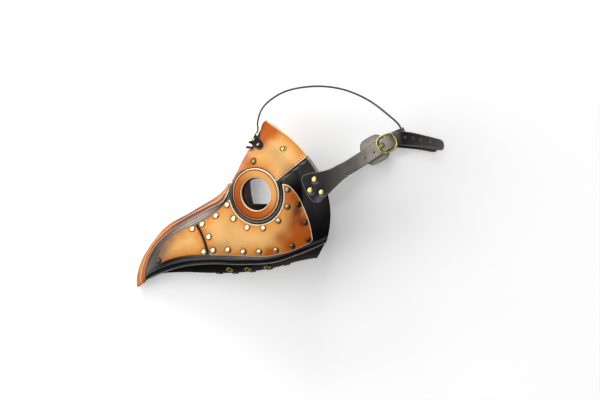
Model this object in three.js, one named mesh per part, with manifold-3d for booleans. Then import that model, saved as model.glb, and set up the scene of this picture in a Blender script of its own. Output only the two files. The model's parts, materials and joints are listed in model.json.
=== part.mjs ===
// Leather plague doctor mask, lying on its right cheek, in millimetres.
// The mask's own axes: x from the beak to the back of the head, y up the face, z to the wearer's left.
import * as THREE from "three";
import { mergeVertices } from "three/addons/utils/BufferGeometryUtils.js";
import Module from "manifold-3d";

const wasm = await Module();
wasm.setup();

// Leather and gaps
const BASE_THICK = 2.2;
const PANEL_THICK = 2.0;
const GAP = 0.3;
const MID_GAP = 0.2;

// Half of the leather body: sections from the ridge of the beak and brow down to the bottom seam.
// Each one is a place along the mask, 0 at the beak's tip and 1 at the rear edge, and the four control
// points of a cubic curve.
const SECTIONS = [
  [0.0, [-168, -129, 0.9], [-165, -129.5, 3], [-160, -127, 4.5], [-156, -122, 4]],
  [0.12, [-160, -93, 1], [-150, -100, 11], [-146, -106, 14], [-136, -111, 9]],
  [0.25, [-132, -53, 1.2], [-127, -66, 17], [-116, -90, 25], [-105, -101, 15]],
  [0.42, [-89, -26.5, 1.2], [-86, -45, 24], [-78, -82, 37], [-64, -96.5, 24]],
  [0.6, [-47, 0, 1.2], [-46, -8, 44], [-35, -72, 44], [-18, -97.5, 34]],
  [0.72, [-31, 22, 1], [-28, 20, 68], [5, -55, 51], [22, -95.5, 42]],
  [0.84, [-14, 54, 0.6], [0, 55, 62], [45, -30, 76], [58, -84, 50]],
  [1.0, [14, 105.7, 0.4], [52, 82, 70], [124, 20, 94], [98.7, -66, 60]],
];
const ROWS = 16;
const COLUMNS = 8;
const CREST_ROWS = 12;
const CREST_COLUMNS = 3;
const CREST_THICK = 2;

// The floor of the beak: how far it bulges below the seam at each place along the mask
const FLOOR_BULGE = [
  [0.0, [0.5]],
  [0.12, [1.5]],
  [0.25, [9]],
  [0.42, [14.5]],
  [0.6, [12.5]],
  [0.72, [9]],
  [0.84, [11]],
  [1.0, [24]],
];
const FLOOR_ROWS = 12;
const FLOOR_COLUMNS = 6;
const FLOOR_INSET = 3.2;
const FLOOR_RAISE = 1.5;
const CHIN_SETBACK = 13;
const CHIN_STARTS = 0.8;

// Goggles; the leather is moulded flat round each one, out to one radius, and eases off by another
const EYE_HEIGHT = 50;
const EYE_PLACE = [1.4, 0.3];
const EYE_NORMAL = [-0.46, -0.098, 0.883];
const SEAT_FLAT = 43;
const SEAT_EASE = 76;
const SEAT_TOP = [0.03, 0.17];
const RING_RADIUS = 36.4;
const RING_HOLE = 23;
const RING_THICK = 4;
const SOCKET_RADIUS = 42;
const SOCKET_INNER = 37.2;
const SOCKET_RISE = 2.6;
const PANEL_CUT_RADIUS = 43;
const BROW_CUT_RADIUS = 37;
const LENS_RADIUS = 25.5;
const LENS_THICK = 2;
const ROUND_SIDES = 24;

// Outlines on the side of the mask, as runs of points; a run of more than two is a smooth curve
const TIP_PANEL = [
  [[-84.7, -43.4], [-101, -48.4], [-122, -61.3], [-136, -82.7], [-140.4, -94.5], [-139.3, -98.8]],
  [[-139.3, -98.8], [-122, -92.4], [-106, -88.2], [-90, -86.2], [-67.9, -85]],
  [[-67.9, -85], [-71.4, -70], [-77.7, -54.6], [-84.7, -43.4]],
];
const CHEEK_PANEL = [
  [[-82, -43.3], [-67.9, -33.3], [-54.2, -23.5], [-39.5, -8.8]],
  [[-39.5, -8.8], [39.2, 14.4]],
  [[39.2, 14.4], [46.1, 11.8], [54.9, 2.9], [63.7, -10.8], [71.5, -28.4], [76.4, -44.2], [79.8, -64]],
  [[79.8, -64], [63.7, -73.6], [46.1, -80.5], [26.3, -85.4], [6.7, -87.4], [-32.6, -85.6], [-64.8, -85]],
  [[-64.8, -85], [-68.6, -70], [-75.2, -54.6], [-82, -43.3]],
];
const BROW_PANEL = [
  [[-45, 19.5], [-12, 60]],
  [[-12, 60], [5.9, 80.5], [7, 87.5], [9.1, 97.3], [14, 104]],
  [[14, 104], [22.8, 97.7], [47.8, 79.3], [73.5, 53.3]],
  [[73.5, 53.3], [28.7, 17.5]],
  [[28.7, 17.5], [-45, 19.5]],
];
const CREST_STRIP = [
  [[-154.7, -121.1], [-155.4, -106.4], [-149.9, -89.2], [-132.9, -64.5], [-109.3, -45.8], [-79.2, -28.7],
    [-52.5, -15.3]],
  [[-52.5, -15.3], [-45.4, -9.7], [-39.4, 2], [-35.2, 11.5]],
  [[-35.2, 11.5], [-60, 30], [-180, -20], [-185, -140]],
  [[-185, -140], [-154.7, -121.1]],
];
const BROW_TAB = [
  [[-3.1, 88.9], [1.4, 83.3], [9.8, 72.1], [11, 66.5], [5.6, 59.8], [-2.1, 66.5], [-5.9, 73.5]],
  [[-5.9, 73.5], [-3.1, 88.9]],
];

// Rivets: places on the side of the mask
const RIVET_RADIUS = 4;
const RIVET_RISE = 2;
const RIVET_SIDES = 5;
const RIVET_SINK = 1;
const TIP_RIVETS = [[-89.3, -49.4], [-72.4, -81.1], [-137.1, -93.7]];
const CHEEK_RIVETS = [
  [-40, -15.1], [-55.9, -30.8], [-75.3, -42.8], [-65.9, -60.1], [-59.6, -79], [-38.8, -78.1],
  [-17.2, -80.8], [4.9, -80.5], [28.3, -78], [51.1, -72.1], [73.5, -63.4], [69, -39.2], [59.4, -14.1],
  [44.7, 6.3], [44.5, -17.2], [31.9, -36.7], [10.9, -47.3], [-11.8, -46.8], [-30.9, -34.7],
];
const BROW_RIVETS = [[-25.8, 26.6], [-2.5, 45.5]];
const BROW_EYELET = [38.5, 62.6];
const BROW_EYELET_RADIUS = 6;
const TAB_RIVETS = [[-0.4, 75.2], [5, 66.5]];
const TAB_RIVET_RADIUS = 2.8;

// Vent eyelets under the beak: places along the mask, in a middle row and in a row on each side
const VENT_MIDDLE = [0.47, 0.56, 0.64, 0.71, 0.79];
const VENT_SIDE = [0.53, 0.62, 0.7];
const VENT_SIDE_PLACE = 0.62;
const VENT_RADIUS = 5;
const VENT_BARREL = 3.3;
const VENT_HOLE = 2.6;
const VENT_LIFT = 0.5;
const VENT_RISE = 1;
const VENT_SIDES = 7;

// Harness: the centre line of a side strap on the side view, and how far out from the middle of the
// mask each strap runs: the upper one droops, the lower one sinks to the ground
const STRAP_WIDTH = 20;
const STRAP_THICK = 2.6;
const STRAP_PLAN = [[114, 30], [125, 35], [146, 47.8], [165, 59.9], [181.5, 70.5], [197, 77.2],
  [214, 76.5], [234, 73.6], [257, 69]];
const STRAP_REACH = {
  left: [81.1, 82.7, 83.6, 82.9, 82.2, 81, 76, 70, 64],
  right: [81.1, 83.9, 92.7, 100.8, 107.9, 114, 119, 124, 129],
};
const STRAP_TWIST = 0.75;
const STRAP_TWIST_FROM = 0.6;
const STRAP_STEPS = 22;
const STRAP_BASE_ROWS = [12, 21];
const STRAP_BASE_COLUMNS = [2, 7];
const STRAP_BASE = [
  [[63.5, 22], [66.5, 24.8], [76.3, 28.9], [90.3, 30.9], [104.3, 35.5], [117, 42.5]],
  [[117, 42.5], [127.8, 25.6]],
  [[127.8, 25.6], [112.8, 11.5], [98.7, -4], [86, -12], [76, -7], [69.3, 5], [63.5, 22]],
];
const STRAP_RIVETS = [[82.2, 20.3], [76.3, 5.2], [92, 2.4]];
const STRAP_RIVET_RADIUS = 4.4;

// Buckles: how far along a side strap each one sits, and its plate with round ears underneath
const BUCKLE_PLACE = 0.505;
const BUCKLE_WIDTH = 26;
const BUCKLE_LENGTH = 30;
const BUCKLE_WIRE = 1.5;
const BUCKLE_BAR = 1.9;
const TONGUE_RISE = 2.9;
const TONGUE_WIRE = 1.05;
const BUCKLE_SIDES = 6;
const BUCKLE_STEPS = 18;
const PAD_WIDTH = 38;
const PAD_FRONT = 38;
const PAD_REAR = -1;
const PAD_THICK = 2;

// The strap round the back of the head, and the one over the crown, seen edge-on from the side
const BACK_THICK = 2.2;
const BACK_STEPS = 22;
const BACK_SEWN = [-26, -10];
const BACK_MIDDLE = [[193, 77, 65], [206, 83, 42], [210, 85, 8], [209, 85, -34], [203, 82, -74],
  [190, 75.5, -98]];
const BACK_OUTWARD = [[0.6, 0.25, 0.8], [0.9, 0.36, 0.3], [0.93, 0.37, 0], [0.9, 0.36, -0.3],
  [0.7, 0.3, -0.6], [0.2, 0.1, -0.9]];
const TOP_THICK = 2.2;
const TOP_WIDTH = 18;
const TOP_STEPS = 22;
const TOP_PATH = [[1.1, 86.8, 0], [2.2, 91.5, 0], [1.8, 101, 0], [9, 122, 0], [36, 143, 0], [76, 152, 0], [118, 149, 0],
  [156, 134, 0], [186, 112, 0], [201.8, 97, 0], [206.9, 84, 0], [209.4, 77.4, 0]];
const TAB_THICK = 1.8;
const BELT_WIDTH = 3.4;
const BELT_THICK = 1.8;
const BELTS = [{ place: 0.896, reach: [0.032, 0.016, 0] }, { place: 0.873, reach: [0.115, 0.06, 0] }];
const BELT_STEPS = 10;

// Resting: the tilt that lays the mask on its right goggle, cheek and strap
const LIE_PITCH = -15.46;
const LIE_ROLL = 3.32;

const leather = (color, roughness) =>
  new THREE.MeshStandardMaterial({ color, roughness, metalness: 0 });
const BLACK = leather(0x1a1a1d, 0.45);
const TAN = leather(0xc87a38, 0.4);
const RING_BROWN = leather(0xa85a2c, 0.45);
const CREST_BROWN = leather(0x9a4a22, 0.45);
const STRAP_BLACK = leather(0x2a2a2e, 0.6);
const BRASS = new THREE.MeshStandardMaterial({ color: 0xc8ac62, roughness: 0.3, metalness: 1 });
const LENS = new THREE.MeshStandardMaterial({ color: 0x1c1a20, roughness: 0.1, metalness: 0 });

const vec = (x, y, z) => new THREE.Vector3(x, y, z);
const flipped = (p) => vec(p.x, p.y, -p.z);

// Smooth value at x through rows of [place, numbers]; it runs on straight past either end.
function smooth(rows, x) {
  const last = rows.length - 1;
  const slope = (i, k) => (rows[i + 1][1][k] - rows[i][1][k]) / (rows[i + 1][0] - rows[i][0]);
  const step = (i) => rows[i + 1][0] - rows[i][0];
  const tangent = (i, k) => {
    if (i === 0) return 2 * slope(0, k) - tangent(1, k);
    if (i === last) return 2 * slope(last - 1, k) - tangent(last - 1, k);
    return (slope(i - 1, k) * step(i) + slope(i, k) * step(i - 1)) / (step(i) + step(i - 1));
  };
  let i = 0;
  while (i < last - 1 && x > rows[i + 1][0]) i += 1;
  const over = Math.max(x - rows[last][0], 0);
  const h = step(i);
  const t = Math.min((x - rows[i][0]) / h, 1);
  return rows[i][1].map((a, k) => {
    const b = rows[i + 1][1][k];
    const near = (2 * t ** 3 - 3 * t ** 2 + 1) * a + (t ** 3 - 2 * t ** 2 + t) * h * tangent(i, k);
    const far = (3 * t ** 2 - 2 * t ** 3) * b + (t ** 3 - t ** 2) * h * tangent(i + 1, k);
    return near + far + over * tangent(last, k);
  });
}

const CONTROLS = SECTIONS.map(([place, ...points]) => [place, points.flat()]);

const eyeNormal = vec(...EYE_NORMAL).normalize();
const eyeDrop = (eyeNormal.x * EYE_PLACE[0] + eyeNormal.y * EYE_PLACE[1]) / eyeNormal.z;
const eye = vec(...EYE_PLACE, EYE_HEIGHT - eyeDrop);

function ease(low, high, x) {
  const k = Math.min(Math.max((x - low) / (high - low), 0), 1);
  return k * k * (3 - 2 * k);
}

// The side of the body: s runs from the beak's tip to the rear edge, t from the ridge to the seam.
function side(s, t) {
  const q = smooth(CONTROLS, s);
  const b = [(1 - t) ** 3, 3 * t * (1 - t) ** 2, 3 * t * t * (1 - t), t ** 3];
  const sum = (k) => b.reduce((total, weight, i) => total + weight * q[3 * i + k], 0);
  const p = vec(sum(0), sum(1), sum(2));
  const seat = EYE_HEIGHT - (eyeNormal.x * p.x + eyeNormal.y * p.y) / eyeNormal.z;
  const away = Math.hypot(p.x, p.y, seat - EYE_HEIGHT);
  const flat = (1 - ease(SEAT_FLAT, SEAT_EASE, away)) * ease(...SEAT_TOP, t);
  p.z += (seat - p.z) * flat;
  return p;
}

// The floor between the two seams; t runs from the right seam to the left one.
function floor(s, t) {
  const seam = side(s, 1);
  const across = 2 * t - 1;
  const half = Math.max(seam.z - FLOOR_INSET, 0.6);
  const bulge = smooth(FLOOR_BULGE, s)[0];
  const sag = 1 - Math.abs(across) ** 2.2;
  const back = CHIN_SETBACK * Math.max((s - CHIN_STARTS) / (1 - CHIN_STARTS), 0) ** 2;
  return vec(seam.x - back * sag, seam.y + FLOOR_RAISE - (bulge + FLOOR_RAISE) * sag, half * across);
}

function normalOf(surface, s, t, flip = 1) {
  const e = 1e-3;
  const t0 = Math.max(t - e, 0);
  const t1 = Math.min(t + e, 1);
  const along = surface(s + e, t).sub(surface(Math.max(s - e, 0), t));
  const down = surface(s, t1).sub(surface(s, t0));
  return down.cross(along).normalize().multiplyScalar(flip);
}

function geometryFrom(points, faces) {
  const geometry = new THREE.BufferGeometry();
  const positions = new Float32Array(points.flatMap((p) => [p.x, p.y, p.z]));
  geometry.setAttribute("position", new THREE.BufferAttribute(positions, 3));
  geometry.setIndex(faces.flat());
  return geometry;
}

// A closed skin between two heights over a surface, on a grid that every layer shares
function slab(surface, s, t, heights, { rows, columns, flip = 1, keep = (p) => p }) {
  const points = [];
  const faces = [];
  const index = (layer, i, j) => (layer * (rows + 1) + i) * (columns + 1) + j;
  const quad = (a, b, c, d) => faces.push([a, b, c], [a, c, d]);
  for (const height of heights) {
    for (let i = 0; i <= rows; i += 1) {
      for (let j = 0; j <= columns; j += 1) {
        const si = s[0] + ((s[1] - s[0]) * i) / rows;
        const tj = t[0] + ((t[1] - t[0]) * j) / columns;
        const p = surface(si, tj).addScaledVector(normalOf(surface, si, tj, flip), height);
        points.push(keep(p));
      }
    }
  }
  const order = (a, b, c, d) => (flip > 0 ? quad(a, b, c, d) : quad(d, c, b, a));
  for (let i = 0; i < rows; i += 1) {
    for (let j = 0; j < columns; j += 1) {
      order(index(1, i, j), index(1, i, j + 1), index(1, i + 1, j + 1), index(1, i + 1, j));
      order(index(0, i, j), index(0, i + 1, j), index(0, i + 1, j + 1), index(0, i, j + 1));
    }
    order(index(0, i, 0), index(1, i, 0), index(1, i + 1, 0), index(0, i + 1, 0));
    order(index(1, i, columns), index(0, i, columns), index(0, i + 1, columns),
      index(1, i + 1, columns));
  }
  for (let j = 0; j < columns; j += 1) {
    order(index(1, 0, j), index(0, 0, j), index(0, 0, j + 1), index(1, 0, j + 1));
    order(index(0, rows, j), index(1, rows, j), index(1, rows, j + 1), index(0, rows, j + 1));
  }
  return geometryFrom(points, faces);
}

function solid(geometry) {
  const bare = geometry.clone();
  bare.deleteAttribute("normal");
  bare.deleteAttribute("uv");
  const merged = mergeVertices(bare, 1e-4);
  const made = new wasm.Manifold(
    new wasm.Mesh({
      numProp: 3,
      vertProperties: merged.attributes.position.array,
      triVerts: new Uint32Array(merged.index.array),
    }),
  );
  if (made.volume() < 0) throw new Error("a piece is inside out");
  return made;
}

function geometryOf(manifold) {
  const { vertProperties, triVerts, numProp } = manifold.getMesh();
  const points = [];
  for (let i = 0; i < vertProperties.length; i += numProp) {
    points.push(vec(vertProperties[i], vertProperties[i + 1], vertProperties[i + 2]));
  }
  return geometryFrom(points, [Array.from(triVerts)]);
}

function outline(runs) {
  const shape = new THREE.Shape();
  shape.moveTo(...runs[0][0]);
  for (const run of runs) {
    const points = run.slice(1).map(([x, y]) => new THREE.Vector2(x, y));
    if (points.length > 1) shape.splineThru(points);
    else shape.lineTo(points[0].x, points[0].y);
  }
  return shape;
}

// An outline drawn out across the mask, from z0 to z1
function prism(runs, z0, z1, curveSegments = 1) {
  const geometry = new THREE.ExtrudeGeometry(outline(runs), {
    depth: z1 - z0,
    bevelEnabled: false,
    curveSegments,
  });
  return solid(geometry.translate(0, 0, z0));
}

// Turns a shape made round the y axis so that it stands on a point along a direction
function stand(geometry, point, normal) {
  const turn = new THREE.Quaternion().setFromUnitVectors(vec(0, 1, 0), normal);
  return geometry.applyQuaternion(turn).translate(point.x, point.y, point.z);
}

// The highest point of a left piece that is seen at (x, y), with the way it faces there
function topOf(geometry, x, y) {
  const mesh = new THREE.Mesh(geometry);
  const ray = new THREE.Raycaster(vec(x, y, 300), vec(0, 0, -1));
  const [hit] = ray.intersectObject(mesh);
  if (!hit) throw new Error("no leather at " + x + ", " + y);
  return { point: hit.point, facing: hit.face.normal.clone() };
}

// A closed ring or button from a profile of [radius, height] points
function turned(profile, sides) {
  const points = profile.map(([x, y]) => new THREE.Vector2(x, y));
  return new THREE.LatheGeometry(points, sides);
}

function rivet(radius, rise, sink, sides) {
  const profile = [[0, -sink], [radius, -sink], [radius, rise * 0.4], [0, rise]];
  return turned(profile, sides);
}

const eyePart = (profile) => stand(turned(profile, ROUND_SIDES), eye, eyeNormal);
const eyeCut = (radius) => solid(eyePart([[0, -90], [radius, -90], [radius, 90], [0, 90]]));

const leftHalf = solid(new THREE.BoxGeometry(600, 600, 300).translate(0, 0, 150 + MID_GAP));

const onLeft = (p) => {
  p.z = Math.max(p.z, MID_GAP);
  return p;
};
const wholeGrid = { rows: ROWS, columns: COLUMNS, keep: onLeft };

// One layer of leather over the left side, between two heights
const layer = (low, high) => solid(slab(side, [0, 1], [0, 1], [low, high], wholeGrid));

function makeBase() {
  const bead = eyePart([
    [SOCKET_INNER, -1], [SOCKET_RADIUS, -1], [SOCKET_RADIUS, SOCKET_RISE * 0.5],
    [SOCKET_RADIUS - 1.4, SOCKET_RISE], [SOCKET_INNER + 1.2, SOCKET_RISE],
    [SOCKET_INNER, SOCKET_RISE * 0.5], [SOCKET_INNER, -1],
  ]);
  const roomForBrow = layer(0, 6).intersect(prism(BROW_PANEL, 0, 120));
  return layer(-BASE_THICK, 0).subtract(eyeCut(RING_HOLE + 1)).add(solid(bead)).subtract(roomForBrow);
}

function makePanel(runs, places, cutRadius) {
  let panel = layer(GAP, GAP + PANEL_THICK).intersect(prism(runs, 0, 120));
  if (cutRadius) panel = panel.subtract(eyeCut(cutRadius));
  const bare = geometryOf(panel);
  for (const [x, y] of places) {
    const { point, facing } = topOf(bare, x, y);
    const head = rivet(RIVET_RADIUS, RIVET_RISE, RIVET_SINK, RIVET_SIDES);
    panel = panel.add(solid(stand(head, point, facing)));
  }
  return panel.intersect(leftHalf);
}

// The strip folded over the ridge: a bent section swept from the tip to the bridge, on the body's grid
function makeCrest() {
  const points = [];
  const faces = [];
  const steps = CREST_COLUMNS + 1;
  for (let i = 0; i <= CREST_ROWS; i += 1) {
    for (const [height, nearest] of [[GAP + CREST_THICK, 1], [GAP, 0.5]]) {
      const left = [];
      for (let j = CREST_COLUMNS; j >= 0; j -= 1) {
        const s = i / ROWS;
        const t = j / COLUMNS;
        const p = side(s, t).addScaledVector(normalOf(side, s, t), height);
        left.push(vec(p.x, p.y, Math.max(p.z, nearest)));
      }
      const round = [...left, ...left.map(flipped).reverse()];
      points.push(...(height === GAP ? round.reverse() : round));
    }
  }
  const n = 4 * steps;
  for (let i = 0; i < CREST_ROWS; i += 1) {
    for (let j = 0; j < n; j += 1) {
      const a = i * n + j;
      const b = i * n + ((j + 1) % n);
      const towardRidge = Math.floor(j / steps) % 2 === 0;
      if (towardRidge) faces.push([a, a + n, b], [b, a + n, b + n]);
      else faces.push([a, a + n, b + n], [a, b + n, b]);
    }
  }
  const end = CREST_ROWS * n;
  for (let j = 0; j < 2 * steps - 1; j += 1) {
    const [a, b, c, d] = [j, j + 1, n - 2 - j, n - 1 - j];
    faces.push([a, b, c], [a, c, d], [c + end, b + end, a + end], [d + end, c + end, a + end]);
  }
  return solid(geometryFrom(points, faces)).intersect(prism(CREST_STRIP, -60, 60));
}

// The place at a fraction of a strap, with its directions along, out of and across the strap
function strapFrame(path, outward, k) {
  const curve = new THREE.CatmullRomCurve3(path.map((p) => vec(...p)));
  const faces = new THREE.CatmullRomCurve3(outward.map((p) => vec(...p)));
  const along = curve.getTangent(k);
  const across = faces.getPoint(k).cross(along).normalize();
  const out = along.clone().cross(across);
  return { point: curve.getPoint(k), along, across, out };
}

// A flat strap with square edges that follows a path
function strap(path, outward, width, thick, steps) {
  const points = [];
  const faces = [];
  for (let i = 0; i <= steps; i += 1) {
    const { point, across, out } = strapFrame(path, outward, i / steps);
    for (const [a, b] of [[-1, -1], [1, -1], [1, 1], [-1, 1]]) {
      const corner = point.clone().addScaledVector(across, (a * width) / 2);
      points.push(corner.addScaledVector(out, (b * thick) / 2));
    }
  }
  for (let i = 0; i < steps; i += 1) {
    for (let j = 0; j < 4; j += 1) {
      const a = 4 * i + j;
      const b = 4 * i + ((j + 1) % 4);
      faces.push([a, b, b + 4], [a, b + 4, a + 4]);
    }
  }
  const end = 4 * steps;
  faces.push([0, 3, 2], [0, 2, 1], [end, end + 1, end + 2], [end, end + 2, end + 3]);
  return solid(geometryFrom(points, faces));
}

// A side strap's path and the way it faces, which turns over along its free end
function sidePath(reach) {
  const path = STRAP_PLAN.map(([x, y], i) => [x, y, reach[i]]);
  const outward = STRAP_PLAN.map((_, i) => {
    const turn = STRAP_TWIST * ease(STRAP_TWIST_FROM, 1, i / (STRAP_PLAN.length - 1));
    return [0, Math.sin(turn), Math.cos(turn)];
  });
  outward[0] = [-0.12, -0.01, 0.99];
  return [path, outward];
}

function makeSideStrap(reach) {
  const [r0, r1] = STRAP_BASE_ROWS;
  const [c0, c1] = STRAP_BASE_COLUMNS;
  const grid = { rows: r1 - r0, columns: c1 - c0 };
  const heights = [GAP, GAP + STRAP_THICK];
  const skin = slab(side, [r0 / ROWS, r1 / ROWS], [c0 / COLUMNS, c1 / COLUMNS], heights, grid);
  const base = solid(skin).intersect(prism(STRAP_BASE, 0, 150));
  return base.add(strap(...sidePath(reach), STRAP_WIDTH, STRAP_THICK, STRAP_STEPS));
}

// Moves a flat shape drawn with x along, y across and z out of the strap on to its place
function onStrap(geometry, frame, lift) {
  const turn = new THREE.Matrix4().makeBasis(frame.along, frame.across, frame.out);
  return geometry.translate(0, 0, lift).applyMatrix4(turn.setPosition(frame.point));
}

function makePad(frame) {
  const ear = PAD_WIDTH / 2;
  const runs = [
    [[-PAD_FRONT, 0], [-PAD_FRONT + 3, ear * 0.7], [-PAD_FRONT + 12, ear], [PAD_REAR - 6, ear],
      [PAD_REAR, ear * 0.5]],
    [[PAD_REAR, ear * 0.5], [PAD_REAR, -ear * 0.5]],
    [[PAD_REAR, -ear * 0.5], [PAD_REAR - 6, -ear], [-PAD_FRONT + 12, -ear],
      [-PAD_FRONT + 3, -ear * 0.7], [-PAD_FRONT, 0]],
  ];
  const flat = { depth: PAD_THICK, bevelEnabled: false, curveSegments: 2 };
  const plate = new THREE.ExtrudeGeometry(outline(runs), flat);
  return onStrap(plate, frame, -STRAP_THICK / 2 - 3 * GAP - PAD_THICK);
}

// The frame of bent wire, its bar across the strap, and the tongue that lies in the frame
function makeBuckle(frame) {
  const lift = STRAP_THICK / 2 + 2 * GAP + BUCKLE_WIRE;
  const a = BUCKLE_LENGTH / 2 - BUCKLE_WIRE;
  const b = BUCKLE_WIDTH / 2 - BUCKLE_WIRE;
  const loop = [[a, 0], [a * 0.8, b * 0.75], [a * 0.25, b], [-a * 0.55, b], [-a, b * 0.35]];
  const turns = [...loop, ...loop.slice(1).reverse().map(([x, y]) => [x, -y])];
  const path = new THREE.CatmullRomCurve3(turns.map(([x, y]) => vec(x, y, 0)), true);
  const rim = new THREE.TubeGeometry(path, BUCKLE_STEPS, BUCKLE_WIRE, BUCKLE_SIDES, true);
  const bar = new THREE.BoxGeometry(BUCKLE_BAR, 2 * b, BUCKLE_BAR).translate(1, 0, 0.15);
  const tongue = rod([1, 0, TONGUE_RISE], [-a - 1, 0, TONGUE_RISE], TONGUE_WIRE);
  return [solid(onStrap(rim, frame, lift)).add(solid(onStrap(bar, frame, lift))),
    onStrap(tongue, frame, lift)];
}

// A straight round rod between two points
function rod(from, to, radius) {
  const [a, b] = [vec(...from), vec(...to)];
  const length = a.distanceTo(b);
  const bar = new THREE.CylinderGeometry(radius, radius, length, BUCKLE_SIDES);
  return stand(bar.translate(0, length / 2, 0), a, b.sub(a).normalize());
}

// Rivets that are pieces of their own, on top of a left piece
function putRivets(name, places, radius, shape, mirror) {
  const bare = shape.isBufferGeometry ? shape : geometryOf(shape);
  places.forEach(([x, y], i) => {
    const { point, facing } = topOf(bare, x, y);
    const foot = point.addScaledVector(facing, 3 * GAP);
    const head = stand(rivet(radius, radius * 0.5, 0, 8), foot, facing);
    put(name + "_" + (i + 1), head, BRASS, mirror);
  });
}

// A brow belt's path from one tab over the ridge to the other, and the way it faces
function beltPath({ place, reach }) {
  const lift = 4 * GAP + PANEL_THICK + TAB_THICK + BELT_THICK / 2;
  const half = reach.map((t) => {
    const facing = normalOf(side, place, t);
    return [side(place, t).addScaledVector(facing, lift), facing];
  });
  half[2][0].z = 0;
  half[2][1].z = 0;
  const whole = [...half, ...half.slice(0, 2).reverse().map(([p, f]) => [flipped(p), flipped(f)])];
  return [whole.map(([p]) => p.toArray()), whole.map(([, f]) => f.toArray())];
}

// The back strap's path from under one buckle's pad to under the other's, and the way it faces
function backPath(left, right) {
  const drop = STRAP_THICK / 2 + 6 * GAP + PAD_THICK + BACK_THICK / 2;
  const under = (frame, k) => frame.point.clone().addScaledVector(frame.along, k)
    .addScaledVector(frame.out, -drop);
  const first = BACK_SEWN.map((k) => under(left, k).toArray());
  const last = BACK_SEWN.map((k) => flipped(under(right, k)).toArray()).reverse();
  const outLeft = left.out.toArray();
  const outRight = flipped(right.out).toArray();
  return [[...first, ...BACK_MIDDLE, ...last],
    [outLeft, outLeft, ...BACK_OUTWARD, outRight, outRight]];
}

function makeHarness(browPanel) {
  const low = 2 * GAP + PANEL_THICK;
  const tab = layer(low, low + TAB_THICK).intersect(prism(BROW_TAB, 0.5, 60));
  putPair("brow_tab", tab, STRAP_BLACK);
  const frames = [];
  for (const name of ["left", "right"]) {
    const mirror = name === "right";
    const reach = STRAP_REACH[name];
    const sideStrap = makeSideStrap(reach);
    put("side_strap_" + name, sideStrap, STRAP_BLACK, mirror);
    const frame = strapFrame(...sidePath(reach), BUCKLE_PLACE);
    frames.push(frame);
    put("buckle_pad_" + name, makePad(frame), STRAP_BLACK, mirror);
    const [rim, tongue] = makeBuckle(frame);
    put("buckle_" + name, rim, BRASS, mirror);
    put("buckle_tongue_" + name, tongue, BRASS, mirror);
    putRivets("strap_rivet_" + name, STRAP_RIVETS, STRAP_RIVET_RADIUS, sideStrap, mirror);
    putRivets("brow_rivet_" + name, TAB_RIVETS, TAB_RIVET_RADIUS, tab, mirror);
    putRivets("brow_eyelet_" + name, [BROW_EYELET], BROW_EYELET_RADIUS, browPanel, mirror);
  }
  const back = strap(...backPath(...frames), STRAP_WIDTH, BACK_THICK, BACK_STEPS);
  put("back_strap", back, STRAP_BLACK);
  const upward = TOP_PATH.map(([x, y], i) => {
    const before = TOP_PATH[Math.max(i - 1, 0)];
    const after = TOP_PATH[Math.min(i + 1, TOP_PATH.length - 1)];
    return [before[1] - after[1], after[0] - before[0], 0];
  });
  put("top_strap", strap(TOP_PATH, upward, TOP_WIDTH, TOP_THICK, TOP_STEPS), STRAP_BLACK);
  BELTS.forEach((belt, i) => {
    const shape = strap(...beltPath(belt), BELT_WIDTH, BELT_THICK, BELT_STEPS);
    put("brow_belt_" + (i + 1), shape, STRAP_BLACK);
  });
}

// The floor's skin with its holes, and the eyelets set in them
function makeFloor() {
  const places = VENT_MIDDLE.map((s) => [s, 0.5]);
  for (const s of VENT_SIDE) {
    places.push([s, 0.5 + VENT_SIDE_PLACE / 2], [s, 0.5 - VENT_SIDE_PLACE / 2]);
  }
  const grid = { rows: FLOOR_ROWS, columns: FLOOR_COLUMNS, flip: -1 };
  let skin = solid(slab(floor, [0.02, 1], [0, 1], [-BASE_THICK, 0], grid));
  places.forEach(([s, t], i) => {
    const out = normalOf(floor, s, t, -1);
    const at = floor(s, t);
    const hole = turned([[0, -9], [VENT_BARREL + GAP, -9], [VENT_BARREL + GAP, 9], [0, 9]], VENT_SIDES);
    skin = skin.subtract(solid(stand(hole, at, out)));
    const low = -BASE_THICK - 0.6;
    const eyelet = turned([
      [VENT_HOLE, low], [VENT_BARREL, low], [VENT_BARREL, VENT_LIFT], [VENT_RADIUS, VENT_LIFT],
      [VENT_RADIUS - 0.8, VENT_LIFT + VENT_RISE], [VENT_HOLE, VENT_LIFT + VENT_RISE], [VENT_HOLE, low],
    ], VENT_SIDES);
    put("vent_eyelet_" + (i + 1), stand(eyelet, at, out), BRASS);
  });
  put("beak_floor", skin, BLACK);
}

function makeGoggles() {
  const ring = eyePart([
    [RING_HOLE, GAP], [RING_RADIUS, GAP], [RING_RADIUS, RING_THICK - 0.8],
    [RING_RADIUS - 0.8, RING_THICK], [RING_HOLE + 0.6, RING_THICK], [RING_HOLE, RING_THICK - 0.6],
    [RING_HOLE, GAP],
  ]);
  putPair("eye_ring", ring, RING_BROWN);
  const back = -BASE_THICK - 3 * GAP;
  const lens = eyePart([
    [0, back - LENS_THICK], [LENS_RADIUS, back - LENS_THICK], [LENS_RADIUS, back], [0, back],
  ]);
  putPair("lens", lens, LENS);
}

const root = new THREE.Group();
const mask = new THREE.Group();
root.add(mask);

function put(name, shape, material, mirror = false) {
  const geometry = shape.isBufferGeometry ? shape : geometryOf(shape);
  const mesh = new THREE.Mesh(geometry, material);
  mesh.name = name;
  if (mirror) mesh.scale.z = -1;
  mask.add(mesh);
  return mesh;
}

function putPair(name, shape, material) {
  const left = put(name + "_left", shape, material);
  const right = put(name + "_right", left.geometry, material, true);
  return [left, right];
}

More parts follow.
